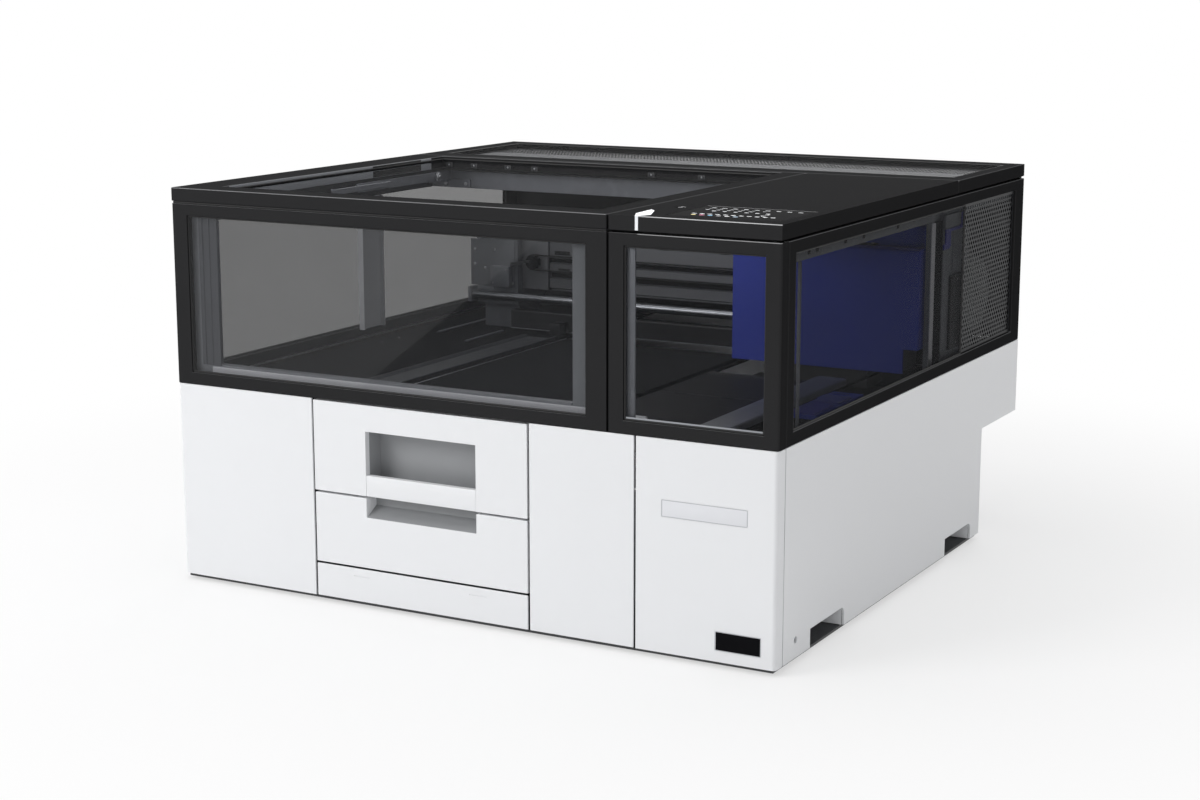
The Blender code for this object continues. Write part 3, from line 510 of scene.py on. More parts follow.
def corners_of(start, end, radius):
    """Rounded rectangle as corner centres and directions (cos a, sin a), a quarter turn to a corner."""
    start, end = np.array(start, float), np.array(end, float)
    middle, half = (start + end) / 2, (end - start) / 2 - radius
    turn = (CORNER_TURN + np.arange(4)[:, None] * math.pi / 2).ravel()
    way = np.stack([np.cos(turn), np.sin(turn)], -1)
    signs = np.array([(1, 1), (-1, 1), (-1, -1), (1, -1)]).repeat(len(CORNER_TURN), 0)
    return middle + signs * half, way


def slab(start, end, edge=0.0005, axis="Z", corner=0.0):
    """Block with rounded edges: at angle t the outline centre + (corner - edge (1 - sin t)) way lies
    edge (1 - cos t) inside the end face."""
    start, end = np.array(start, float), np.array(end, float)
    u, v, w = AXES[axis]
    corner = max(corner, edge * 1.4)
    centres, way = corners_of(start[[u, v]], end[[u, v]], corner)
    inset, depth = edge * (1 - np.sin(EDGE_TURN)), edge * (1 - np.cos(EDGE_TURN))
    levels = np.concatenate([start[w] + depth, (end[w] - depth)[::-1]])
    radii = corner - np.concatenate([inset, inset[::-1]])
    return skin(upright(centres + radii[:, None, None] * way, levels[:, None], axis))


def carried(outline, start, end, axis, edge=0.0003):
    """Outline carried straight along an axis.  At both ends it is drawn in by edge along the mitre
    (n1 + n2) / (1 + n1 . n2) of the normals of the two sides that meet at each corner."""
    flat = np.array(outline, float)
    after = np.roll(flat, -1, 0)
    if np.sum(flat[:, 0] * after[:, 1] - after[:, 0] * flat[:, 1]) < 0:
        flat = flat[::-1]
    side = np.roll(flat, -1, 0) - flat
    side /= np.linalg.norm(side, axis=1, keepdims=True)
    normal = np.stack([side[:, 1], -side[:, 0]], -1)
    before = np.roll(normal, 1, 0)
    mitre = (normal + before) / (1 + (normal * before).sum(-1, keepdims=True))
    inner = flat - edge * mitre
    levels = np.array([start, start + edge, end - edge, end])
    return skin(upright(np.stack([inner, flat, flat, inner]), levels[:, None], axis))


def rim(start, end, level, section, axis, corner=0.002):
    """Closed section carried round a rounded rectangle: corner centre + (corner + out) way at
    level + up, for every (out, up) of the section."""
    centres, way = corners_of(start, end, corner)
    section = np.array(section, float)
    flat = centres[:, None] + (corner + section[:, 0])[None, :, None] * way[:, None]
    return skin(upright(flat, level + section[:, 1], axis), endless=True)


def framed(start, end, hole_start, hole_end, levels, axis, corner=0.0008):
    """Flat sheet with one rectangular hole: outer and inner outline, each at both levels, in a loop."""
    outer, way = corners_of(start, end, corner)
    inner, _ = corners_of(hole_start, hole_end, corner)
    outer, inner = outer + corner * way, inner + corner * way
    back, face = levels
    rings = [upright(outer, back, axis), upright(outer, face, axis), upright(inner, face, axis),
             upright(inner, back, axis)]
    return skin(rings, endless=True)


def turned(profile, spot, facing, sides=16, flats=0):
    """Surface of revolution: every (radius, height) of the profile goes once round the axis through
    spot.  The last rings, as many as flats, are hexagons: radius / cos(angle from nearest flat)."""
    axis, sign = facing[1], -1 if facing[0] == "-" else 1
    profile = np.array(profile, float)
    turn = np.arange(sides) * 2 * math.pi / sides
    radii = np.repeat(profile[:, :1], sides, axis=1)
    if flats:
        radii[-flats:] /= np.cos((turn + math.pi / 6) % (math.pi / 3) - math.pi / 6)
    flat = radii[..., None] * np.stack([np.cos(turn), np.sin(turn)], -1)
    return skin(upright(flat, sign * profile[:, 1:], axis) + np.array(spot, float))


def screw(facing, radius, rise):
    """Dome-headed screw with a hexagon socket."""
    profile = [(radius, -0.0002), (radius, rise * 0.4), (radius * 0.86, rise * 0.85), (radius * 0.62, rise),
               (radius * 0.44, rise), (radius * 0.38, rise * 0.2)]
    return turned(profile, (0, 0, 0), facing, sides=12, flats=2)


def grille(start, end, levels, axis, pitch, opening):
    """Perforated sheet.  Holes stand pitch apart, every other row half a pitch along.  A hole's cell is
    the hexagon of the points nearer to it than to any other hole, and the hole is the same hexagon
    times opening.  Ring faces join hole and cell edge, and lone cell edges get the sheet's rim."""
    (du, dv), (start, end) = pitch, (np.array(start, float), np.array(end, float))
    tip, shoulder = (du * du / 4 + dv * dv) / (2 * dv), (dv * dv - du * du / 4) / (2 * dv)
    hexagon = np.array([(du / 2, -shoulder), (du / 2, shoulder), (0, tip), (-du / 2, shoulder),
                        (-du / 2, -shoulder), (0, -tip)])
    across, up = np.floor((end - start) / pitch).astype(int)
    column, row = np.meshgrid(np.arange(across), np.arange(up))
    spots = np.stack([(column + 0.5 + (row % 2) * 0.5) * du, (row + 0.6) * dv], -1).reshape(-1, 2) + start
    spots = spots[(spots + (du / 2, tip) <= end + 1e-9).all(1)]
    rings = np.concatenate([spots[:, None] + hexagon, spots[:, None] + hexagon * opening])
    flat, number = np.unique(np.round(rings.reshape(-1, 2), 6), axis=0, return_inverse=True)
    outer, inner = number.reshape(2, len(spots), 6)
    below = len(flat)

    def quads(a, b, c, d):
        return np.stack([a, b, c, d], -1).reshape(-1, 4)

    next_outer, next_inner = np.roll(outer, -1, 1), np.roll(inner, -1, 1)
    face = quads(outer, next_outer, next_inner, inner)
    holes = quads(inner, next_inner, next_inner + below, inner + below)
    edges = np.stack([outer, next_outer], -1).reshape(-1, 2)
    _, first, uses = np.unique(np.sort(edges, 1), axis=0, return_index=True, return_counts=True)
    lone = edges[first[uses == 1]]
    border = quads(lone[:, 1], lone[:, 0], lone[:, 0] + below, lone[:, 1] + below)
    faces = np.concatenate([face, face[:, ::-1] + below, holes, border])
    points = np.concatenate([upright(flat, level, axis) for level in (levels[1], levels[0])])
    return points, faces.ravel(), np.full(len(faces), 4)


def piece(name, finish, *shells, body="chassis", slot=None):
    """One named object made of shells, riding on a body, in its finish. The slot argument is not used."""
    bases = np.cumsum([0] + [len(points) for points, _, _ in shells])
    points = np.concatenate([points for points, _, _ in shells])
    corners = np.concatenate([corners + base for (_, corners, _), base in zip(shells, bases)])
    sizes = np.concatenate([sizes for _, _, sizes in shells])
    mesh = bpy.data.meshes.new(name)
    mesh.vertices.add(len(points))
    mesh.vertices.foreach_set("co", points.ravel())
    mesh.loops.add(len(corners))
    mesh.loops.foreach_set("vertex_index", corners.astype(np.int32))
    mesh.polygons.add(len(sizes))
    mesh.polygons.foreach_set("loop_start", (np.cumsum(sizes) - sizes).astype(np.int32))
    mesh.polygons.foreach_set("use_smooth", np.ones(len(sizes), bool))
    mesh.update(calc_edges=True)
    mesh.set_sharp_from_angle(angle=SHARP)
    mesh.materials.append(FINISHES[finish])
    obj = bpy.data.objects.new(name, mesh)
    bpy.context.scene.collection.objects.link(obj)
    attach(obj, body)
    return obj


def both_sides(*rows):
    """Pieces on the right-hand side, then their mirror images on the left, as (name, finish, shells)."""
    for name, finish, shells in rows:
        piece(name.format("right"), finish, *shells)
    for name, finish, shells in rows:
        piece(name.format("left"), finish, *map(mirrored, shells))


def bolts(name, finish, spots, facing, radius=SCREW_RADIUS, rise=SCREW_RISE, body="chassis"):
    """Screws with their heads on the given spots."""
    piece(name, finish, many(screw(facing, radius, rise), spots), body=body)


# Where the pieces go ------------------------------------------------------------------------
FRONT = float(low("door_frame")[1])
REAR = float(high("rear_top_cover")[1])
SIDE = float(high("side_frame_right")[0])
TOP = float(high("lid_frame")[2])
DECK = float(high("deck_chassis")[2])
WALL_FACE, WALL_BACK = 0.4789, 0.475        # outer and inner face of the right-hand posts and rails


# Front covers and side panels ---------------------------------------------------------------
LABEL_SEATS = {"name_plate": ("name_plate", (0.3215, 0.197), (0.448, 0.221)),
               "badge_plate": ("panel_glass", (0.402, 0.024), (0.4695, 0.0515))}
LABEL_GAP, LABEL_BACK, LABEL_LIP = 0.0005, 0.0007, 0.0009
POCKETS = ((-0.373, -0.254), (0.156, 0.275))
POCKET_TOP, POCKET_BACK, POCKET_SHEET = 0.0356, 0.44, 0.0012
FIXING_SPOT = (-0.422, 0.034)


def make_labels():
    """Blank plates in the two shallow seats of the access door, each with a thin raised lip."""
    for name, (finish, start, end) in LABEL_SEATS.items():
        start, end = np.array(start) + LABEL_GAP, np.array(end) - LABEL_GAP
        back, face = FRONT + LABEL_BACK, FRONT + 0.0002
        plate = slab((start[0], face, start[1]), (end[0], back, end[1]), 0.0002, "Y", corner=0.0012)
        lip = rim(start, end, face,
                  [(0, 0.0002), (0, -0.00015), (-LABEL_LIP, -0.00015), (-LABEL_LIP, 0.0002)], "Y",
                  corner=0.0012)
        piece(name, finish, plate, body="access_door_body")
        piece(name + "_lip", "plate_lip", lip, body="access_door_body")


GRIP_SPAN = (-0.1526, 0.0316)


def make_grip_facings():
    """Facing of the upper drawer's grip, with a lip rolled over its upper edge, and a grey sheet in the
    lower drawer's scoop, folded once along its foot, that paints the shade in the white scoop."""
    face, back = FRONT + 0.00005, FRONT + 0.0007
    base, top = 0.1683, 0.1984
    facing = [(back, base), (face + 0.0002, base), (face, base + 0.0004), (face, top - 0.0006),
              (face + 0.0003, top), (face + 0.0093, top), (face + 0.0096, top - 0.0003),
              (back, top - 0.0003)]
    piece("grip_facing", "white_shell", carried(facing, *GRIP_SPAN, "X", 0.0002), body="ink_drawer")
    # grey sheet in the scoop: painted shade
    foot, fold, rise = (FRONT + 0.0004, 0.1364), (FRONT + 0.0247, 0.15), 0.1644
    liner = [foot, fold, (fold[0], rise), (fold[0] - 0.0005, rise), (fold[0] - 0.0005, fold[1] + 0.0004),
             (foot[0], foot[1] + 0.0005)]
    piece("scoop_shade_liner", "scoop_grey", carried(liner, *GRIP_SPAN, "X", 0.0001), body="storage_drawer")


def make_pockets():
    """White sheet liners of the hand pockets: a roof and back folded from one strip, and two cheeks."""
    top, inner, sheet = POCKET_TOP, POCKET_BACK, POCKET_SHEET
    base, mouth = 0.009, SIDE - 0.0034
    fold = [(mouth, top - sheet), (mouth, top), (inner + 0.004, top), (inner, top - 0.004), (inner, base),
            (inner + sheet, base), (inner + sheet, top - 0.0044), (inner + 0.0044, top - sheet)]
    for place, (near, far) in zip(("front", "rear"), POCKETS):
        shells = [carried(fold, near + 0.0004, far - 0.0004, "Y", 0.0002)]
        for y in (near + 0.0004, far - 0.0004 - sheet):
            shells.append(slab((inner + 0.0002, y, base), (mouth, y + sheet, top - 0.0002), 0.0003, "Y"))
        both_sides(("pocket_liner_{}_" + place, "white_shell", shells))


def make_outer_screws():
    """Fixing screws sunk in the side panels, and small dark ones by the rear corner."""
    y, z = FIXING_SPOT
    head = [(0.0043, -0.002), (0.0043, 0.0006), (0.0036, 0.0014), (0.0022, 0.0015), (0.0018, 0.0002)]
    sunk = turned(head, (0.4868, y, z), "+X", sides=24, flats=2)
    corner = many(screw("+X", 0.0022, 0.001), [(SIDE - 0.0011, 0.475, height) for height in (0.205, 0.196)])
    both_sides(("fixing_screw_{}", "dull_zinc", [sunk]), ("corner_screws_{}", "plastic_dark", [corner]))


# Windows ------------------------------------------------------------------------------------
SEAL_WIDE, SEAL_TALL, FLUSH_SEAL_TALL = 0.0022, 0.0016, 0.0007


def seal(window, axis, outward, tall):
    """Lipped rubber section round the edge of a pane, standing on its face."""
    u, v, w = AXES[axis]
    lowest, highest = low(window), high(window)
    level = highest[w] if outward > 0 else lowest[w]
    wide = SEAL_WIDE
    section = [(0, 0), (0, tall), (-wide * 0.35, tall * 1.15), (-wide * 0.75, tall * 0.8),
               (-wide, tall * 0.2), (-wide, 0)]
    section = [(out, 0.0001 * outward + up * outward) for out, up in section]
    return rim(lowest[[u, v]], highest[[u, v]], level, section, axis, corner=0.0026)


def make_seals():
    """Seals of all panes, the strips that close the gaps round the lid and covers, and a pale strip that
    paints the highlight along the service window's lower edge.
    """
    for window, body, axis, outward in (
            ("door_window", "loading_lid", "Y", -1), ("service_door_window", "service_door", "Y", -1),
            ("side_window_right", "chassis", "X", 1), ("side_window_left", "chassis", "X", -1),
            ("lid_window", "loading_lid", "Z", 1), ("rear_top_window", "chassis", "Z", 1)):
        tall = FLUSH_SEAL_TALL if window == "rear_top_window" else SEAL_TALL
        piece(window + "_seal", "rubber_black", seal(window, axis, outward, tall), body=body)
    lowest, highest = low("service_door_window"), high("service_door_window")
    strip = [(lowest[1] - 0.0012, lowest[2] + 0.0024), (lowest[1] - 0.0002, lowest[2] + 0.0024),
             (lowest[1] - 0.0002, lowest[2] + 0.0046), (lowest[1] - 0.0008, lowest[2] + 0.0046)]
    # painted highlight: pale strip for the light along the service door's lower inner edge
    piece("service_door_highlight_strip", "liner_paint",
          carried(strip, lowest[0] + 0.0026, highest[0] - 0.0026, "X", 0.0002), body="service_door",
          slot="bright_steel")
    corner_strip = slab((0.4776, -0.47, 0.3045), (0.4804, -0.46, 0.562), 0.0004)
    piece("corner_seals", "rubber_black", corner_strip, mirrored(corner_strip))
    gap, depth = (0.5719, 0.5747), (FRONT + 0.0016, FRONT + 0.022)
    piece("lid_gap_seal_front", "rubber_black",
          slab((-SIDE + 0.0016, depth[0], gap[0]), (high("lid_frame")[0] - 0.001, depth[1], gap[1]),
               0.0004),
          body="loading_lid")
    piece("rear_gap_seal", "rubber_black",
          slab((-SIDE + 0.004, REAR - 0.012, gap[0]), (SIDE - 0.004, REAR - 0.0016, gap[1]), 0.0004))
    piece("lid_gap_seal_left", "rubber_black",
          slab((-SIDE + 0.0016, depth[1] + 0.0026, gap[0]), (-SIDE + 0.02, 0.163, gap[1]), 0.0004),
          body="loading_lid")


GRILLE_PITCH, GRILLE_OPENING = (0.01045, 0.0071), (0.62, 0.6)


def make_side_grille():
    """Perforated sheet in the rear part of the right-hand window, with a plain border."""
    lowest, highest = low("side_mesh_right"), high("side_mesh_right")
    start, end = lowest[1:], highest[1:]
    levels = (lowest[0], lowest[0] + 0.0009)
    sheet = grille(start + 0.001, end - 0.001, levels, "X", GRILLE_PITCH, GRILLE_OPENING)
    border = framed(start, end, start + 0.0046, end - 0.0046, (levels[1], levels[1] + 0.0006), "X")
    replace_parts(piece("side_grille", "mesh_grey", sheet, border), "side_mesh_right")


def make_front_door_trim():
    """Sill and ledge below the front window, the grooved track at its left, the service window's jamb."""
    face = low("door_liner")[1]
    sill = [(face - 0.0001, 0.3194), (face - 0.0016, 0.3194), (face - 0.002, 0.32), (face - 0.002, 0.3296),
            (face - 0.0012, 0.3308), (face - 0.0001, 0.3308)]
    # painted light: the liner's lower flange made pale where light from above falls on it
    piece("door_sill", "pale_sill", carried(sill, -0.433, 0.206, "X", 0.0004), body="loading_lid")
    ledge = [(face - 0.0008, 0.3313), (face - 0.0001, 0.334), (face + 0.0085, 0.3352),
             (face + 0.0085, 0.3316)]
    piece("door_sill_ledge", "steel_grey", carried(ledge, -0.432, 0.1785, "X", 0.0003), body="loading_lid")
    x0, x1, back = -0.4504, -0.4172, face - 0.0001
    grooves = [(x0, back), (x0, back - 0.0016), (x0 + 0.0062, back - 0.0016), (x0 + 0.007, back - 0.0004),
               (x0 + 0.0098, back - 0.0004), (x0 + 0.0106, back - 0.0018), (x0 + 0.0186, back - 0.0018),
               (x0 + 0.0196, back - 0.0005), (x0 + 0.0222, back - 0.0005), (x0 + 0.0232, back - 0.0016),
               (x1, back - 0.0016), (x1, back)]
    piece("door_track", "graphite_track", carried(grooves, 0.3326, 0.5544, "Z", 0.0003), body="loading_lid")
    jamb = low("service_door_window")[0] + 0.0004
    piece("service_window_jamb", "steel_grey",
          slab((jamb, FRONT + 0.007, 0.3225), (jamb + 0.0048, FRONT + 0.0112, 0.554), 0.0003),
          slab((jamb + 0.0046, FRONT + 0.007, 0.3225), (jamb + 0.013, FRONT + 0.01, 0.554), 0.0003),
          body="service_door")


# Roof rails ---------------------------------------------------------------------------------
RAIL_FACE, RAIL_SPAN = -0.4365, (-0.43, 0.13)
RAIL_LEVELS, RAIL_SLOT = (0.545, 0.5735), ((-0.045, 0.556), (0.128, 0.568))
NOTCHES = (-0.376, -0.349, -0.252, -0.186, -0.056, 0.236)


def make_roof_rails():
    """Folded rail beside the lid stay with its guide slot, and the slotted rails over the side windows."""
    (near, far), (base, top) = RAIL_SPAN, RAIL_LEVELS
    web = framed((near, base), (far, top), *RAIL_SLOT, (RAIL_FACE - 0.0015, RAIL_FACE), "X")
    foot = slab((-0.4796, near, base), (RAIL_FACE - 0.0016, far, base + 0.0015), 0.0003, "Z")
    hem = slab((RAIL_FACE - 0.009, near, top - 0.0012), (RAIL_FACE - 0.0016, far, top), 0.0003, "Z")
    piece("lid_stay_rail", "trough_grey", web, foot, hem)
    wall, below, above = low("lid_window")[0], low("lid_window")[2], high("lid_window")[2]
    bands = ((0.5752, below - 0.0004), (above + 0.0004, 0.5944))
    piece("lid_slot_plate", "liner_paint",
          *[slab((wall, -0.428, z0), (wall + 0.0012, 0.115, z1), 0.0002, "X") for z0, z1 in bands],
          body="loading_lid")
    piece("lid_slot", "rubber_black",
          *[slab((wall + 0.0011, -0.058, z0 + 0.0006), (wall + 0.0015, 0.083, z1 - 0.0004), 0.0001, "X")
            for z0, z1 in bands],
          body="loading_lid")
    piece("lid_stay_rail_liner", "plastic_dark",
          slab((RAIL_FACE - 0.0045, near + 0.37, base + 0.004),
               (RAIL_FACE - 0.0017, far - 0.001, top - 0.002)))
    bolts("lid_stay_rail_screws", "dull_zinc",
          [(RAIL_FACE, y, z) for y, z in ((-0.181, 0.553), (-0.162, 0.564), (-0.065, 0.561))], "+X")
    runs = [slab((WALL_BACK, y0, 0.5385), (WALL_FACE, y1, 0.55), 0.0005, "X")
            for y0, y1 in ((-0.4164, 0.083), (0.229, 0.444))]
    notch = slab((WALL_FACE - 0.0002, -0.0045, 0.5445), (WALL_FACE + 0.0003, 0.0045, 0.5497), 0.0002, "X")
    notches = many(notch, [(0, y, 0) for y in NOTCHES])
    trim = slab((WALL_BACK, -0.4025, 0.318), (WALL_FACE, -0.398, 0.5375), 0.0004, "X")
    both_sides(("window_rail_{}", "steel_grey", runs), ("window_rail_slots_{}", "rubber_black", [notches]),
               ("window_trim_{}", "steel_grey", [trim]))


CLIPS = (-0.416, -0.366, -0.299, -0.247, -0.027, 0.064)


def make_crossbar_fittings():
    """Bracket and pivot cap of the lid stay, and the clips that hold the lid's glass."""
    plate_face, lid_face = 0.1734, 0.1527
    piece("stay_bracket", "steel_grey",
          slab((-0.4428, plate_face, 0.5404), (-0.388, 0.1759, 0.555), 0.0004, "Y", corner=0.0015))
    bolts("stay_bracket_screws", "satin_aluminium", [(x, plate_face, 0.5475) for x in (-0.4372, -0.3965)],
          "-Y", 0.0034, 0.0018)
    boss = [(0.0072, -0.003), (0.0072, 0.001), (0.006, 0.002), (0.0034, 0.0022), (0.003, 0.0034),
            (0.0022, 0.0038)]
    piece("stay_pivot_cap", "dull_zinc", turned(boss, (-0.4165, 0.12, 0.563), "+X", sides=24))
    tabs = [slab((x - 0.0065, lid_face - 0.0016, 0.577), (x + 0.0065, lid_face, 0.585), 0.0004, "Y")
            for x in CLIPS]
    piece("lid_glass_clips", "plastic_dark", *tabs, body="loading_lid")
    bolts("lid_glass_clip_screws", "dull_zinc", [(x, lid_face - 0.0016, 0.5812) for x in CLIPS], "-Y",
          0.0016, 0.0008, body="loading_lid")


# Inside the print chamber -------------------------------------------------------------------
def make_right_post():
    """Fittings on the right-hand post: a bright strip that paints the highlight on its edge, plates, sensor
    box, wiring cap and its clip.
    """
    face = WALL_FACE
    # painted highlight on the post's edge
    piece("post_edge_highlight", "satin_aluminium",
          slab((face, 0.0838, 0.319), (face + 0.0013, 0.0996, 0.537), 0.0004, "X"))
    piece("post_web", "steel_black",
          slab((face - 0.004, 0.1, 0.319), (face + 0.0004, 0.132, 0.537), 0.0004, "X"))
    piece("post_plate", "steel_grey",
          slab((face, 0.1345, 0.325), (face + 0.001, 0.165, 0.512), 0.0004, "X"))
    piece("sensor_box", "plastic_dark",
          slab((face, 0.1662, 0.333), (face + 0.0042, 0.2225, 0.449), 0.0012, "X", corner=0.0025),
          slab((face + 0.004, 0.174, 0.416), (face + 0.0047, 0.186, 0.43), 0.0004, "X"),
          slab((face + 0.004, 0.174, 0.366), (face + 0.0047, 0.186, 0.38), 0.0004, "X"))
    bolts("sensor_box_screws", "dull_zinc", [(face + 0.0042, 0.196, z) for z in (0.441, 0.342)], "+X",
          0.0018, 0.0007)
    piece("wiring_cap", "steel_grey",
          slab((face, 0.133, 0.524), (face + 0.0044, 0.203, 0.5445), 0.001, "X", corner=0.002))
    clip = [(0.221, 0.543), (0.2045, 0.543), (0.2045, 0.5225), (0.14, 0.5225), (0.14, 0.502), (0.132, 0.5),
            (0.132, 0.492), (0.156, 0.492), (0.1616, 0.496), (0.1616, 0.518), (0.217, 0.518),
            (0.221, 0.5215)]
    piece("wiring_clip", "violet_moulding", carried(clip, face + 0.0011, face + 0.0036, "X", 0.0005))
    plate = [(0.18, 0.5175), (0.248, 0.5175), (0.2535, 0.512), (0.2535, 0.451), (0.18, 0.4555)]
    piece("wiring_plate", "steel_grey", carried(plate, face - 0.0006, face + 0.0008, "X", 0.0003))


SHROUD_SPOT = (0.464, 0.312, 0.402)


def make_fan_shroud():
    """Smooth domed cap over the fan's outlet."""
    dome = [(0.06, 0.0), (0.0605, 0.004), (0.059, 0.008), (0.055, 0.0115), (0.048, 0.0145), (0.038, 0.0165),
            (0.025, 0.0178), (0.012, 0.0184), (0.003, 0.0186)]
    piece("fan_shroud", "pale_moulding", turned(dome, SHROUD_SPOT, "+X", sides=56))


def make_left_post():
    """Folded post in the middle of the left-hand window."""
    outer, inner = -0.4803, -0.47
    channel = [(outer, -0.0316), (inner, -0.0316), (inner, -0.0288), (outer + 0.0028, -0.0288),
               (outer + 0.0028, 0.0264), (inner, 0.0264), (inner, 0.0292), (outer, 0.0292)]
    piece("left_post", "post_paint", carried(channel, 0.3165, 0.538, "Z", 0.0005))


def make_deck_plates():
    """Cover plates right of the table, with the notched joint between them, a black strip of painted shadow
    over the slot below the carriage cover, and their fasteners.
    """
    rise = (DECK + 0.0001, DECK + 0.0011)
    left, right = 0.1668, 0.329
    joint = -0.195
    front_plate = [(left, -0.435), (right, -0.435), (right, joint - 0.002), (0.29, joint - 0.002),
                   (0.288, joint - 0.007), (0.274, joint - 0.007), (0.272, joint - 0.002),
                   (0.214, joint - 0.002), (0.212, joint - 0.007), (0.196, joint - 0.007),
                   (0.194, joint - 0.002), (left, joint - 0.002)]
    rear_plate = [(left, joint + 0.001), (right, joint + 0.001), (right, -0.0385), (left, -0.0385)]
    piece("deck_plate_front", "deck_cover_plate", carried(front_plate, *rise, "Z", 0.0003))
    piece("deck_plate_rear", "deck_cover_plate", carried(rear_plate, *rise, "Z", 0.0003))
    # painted shadow: black strip where the carriage cover's shadow and the slot beneath it lie
    piece("deck_shadow_strip", "rubber_black",
          slab((left, -0.0376, rise[0]), (right, -0.0158, rise[0] + 0.0005), 0.0001))
    marks = [(0.3057, -0.2587), (0.257, -0.3577), (0.3186, -0.3298), (0.2881, -0.3347)]
    piece("deck_plate_slots", "rubber_black",
          many(slab((-0.008, -0.0018, rise[1] - 0.0002), (0.008, 0.0018, rise[1] + 0.0001), 0.0001),
               [(x, y, 0) for x, y in marks]))
    fixings = [(0.174, -0.426), (0.32, -0.426), (0.174, -0.205), (0.32, -0.18), (0.174, -0.048),
               (0.32, -0.048), (0.174, -0.18), (0.32, -0.208)]
    bolts("deck_plate_screws", "black_oxide", [(x, y, rise[1]) for x, y in fixings], "+Z", 0.0022, 0.0008)
    bolts("deck_edge_screws", "dull_zinc",
          [(0.456, -0.0428, DECK), (0.456, -0.029, DECK), (-0.43, -0.04, DECK), (-0.43, 0.01, DECK)], "+Z",
          0.0016, 0.0007)


def make_well_shade_floors():
    """Dark sheets low in the openings of the deck, under the caps and the wiper: painted shade in those
    wells.
    """
    piece("service_tray_shade_sheet", "rubber_black",
          slab((0.257, -0.2765, 0.2651), (0.392, 0.1665, 0.2658), 0.0002))
    piece("service_well_shade_sheet", "rubber_black", slab((0.164, -0.02, 0.269), (0.2526, 0.169, 0.27), 0.0003))


def make_deck_beam():
    """Low folded beam along the deck, the tab at its front end and the silver latch plate beside it."""
    x0, x1, base, top = 0.342, 0.3905, DECK + 0.0002, DECK + 0.01
    section = [(x0, base), (x0 + 0.001, top - 0.002), (x0 + 0.003, top), (x1 - 0.002, top),
               (x1, top - 0.0015), (x1, base)]
    piece("deck_beam", "steel_grey", carried(section, -0.43, -0.019, "Y", 0.0006))
    piece("deck_beam_tab", "steel_grey",
          slab((0.398, -0.444, DECK + 0.0002), (0.446, -0.42, DECK + 0.0065), 0.0008))
    latch = [(0.225, -0.413), (0.254, -0.413), (0.254, -0.396), (0.246, -0.39), (0.246, -0.383),
             (0.225, -0.383)]
    piece("latch_plate", "satin_aluminium", carried(latch, DECK + 0.0012, DECK + 0.0046, "Z", 0.0005))


def make_rear_apron():
    """Apron under the rail, the bright edge strip at its foot, and its screws."""
    near, left, right = 0.1515, -0.295, 0.469
    apron = [(near, 0.31), (near, 0.338), (near + 0.0015, 0.34), (near + 0.02, 0.34), (near + 0.02, 0.338),
             (near + 0.0022, 0.3372), (near + 0.0022, 0.31)]
    piece("rail_apron", "steel_black", carried(apron, left, right, "X", 0.0004))
    piece("rail_apron_strip", "satin_aluminium",
          carried([(near - 0.0012, 0.3086), (near + 0.0016, 0.3086), (near + 0.0016, 0.3098),
                   (near - 0.0012, 0.3098)],
                  left, right, "X", 0.0002),
          slot="steel_grey")
    bolts("rail_apron_screws", "black_oxide", [(x, near, 0.3265) for x in (-0.26, -0.12, -0.0041, 0.14)],
          "-Y", 0.0022, 0.001)


def make_table_strips():
    """Bright strip along the table's left edge that paints the edge's highlight, and flush fixings near its
    corners.
    """
    lowest, highest = low("table_plate"), high("table_plate")
    top = highest[2]
    # painted highlight along the table's left edge
    piece("table_edge_highlight_strip", "satin_aluminium",
          slab((lowest[0] + 0.0004, lowest[1] + 0.002, top - 0.0001),
               (lowest[0] + 0.0022, highest[1] - 0.002, top + 0.0004), 0.0002),
          body="table")
    spots = [(x, y, top) for x in (lowest[0] + 0.012, highest[0] - 0.012)
             for y in (lowest[1] + 0.012, (lowest[1] + highest[1]) / 2, highest[1] - 0.012)]
    bolts("table_screws", "black_oxide", spots, "+Z", 0.0026, 0.0004, body="table")


TROUGH = (-0.246, -0.188)


def make_cable_trough():
    """Dark channel left of the table with a pale edge, the post at its rear end, and two low rails."""
    left, right = TROUGH
    base, lip, wall = DECK + 0.0003, 0.0058, 0.0016
    section = [(left, base), (right, base), (right, base + lip), (right - wall, base + lip),
               (right - wall - 0.004, base + wall), (left + wall + 0.004, base + wall),
               (left + wall, base + lip), (left, base + lip)]
    piece("cable_trough", "trough_grey", carried(section, -0.43, 0.117, "Y", 0.0002), slot="plastic_dark")
    piece("cable_trough_edge", "steel_grey",
          slab((right + 0.0001, -0.43, base + lip - 0.001), (right + 0.0008, 0.117, base + lip), 0.0001))
    piece("trough_post", "steel_black",
          slab((-0.201, 0.118, DECK + 0.007), (-0.18, 0.144, 0.328), 0.0012, "Z", corner=0.0025))
    rails = [slab((x - 0.0025, y0, DECK + 0.0001), (x + 0.0025, y1, DECK + 0.0022), 0.0004)
             for x, y0, y1 in ((-0.31, 0.03, 0.15), (-0.4, 0.085, 0.29))]
    piece("deck_side_rails", "steel_grey", *rails)


GANTRY_SCREWS = ((-0.376, 0.437), (-0.336, 0.438), (-0.3765, 0.412), (-0.356, 0.406), (-0.336, 0.397),
                 (-0.302, 0.382))


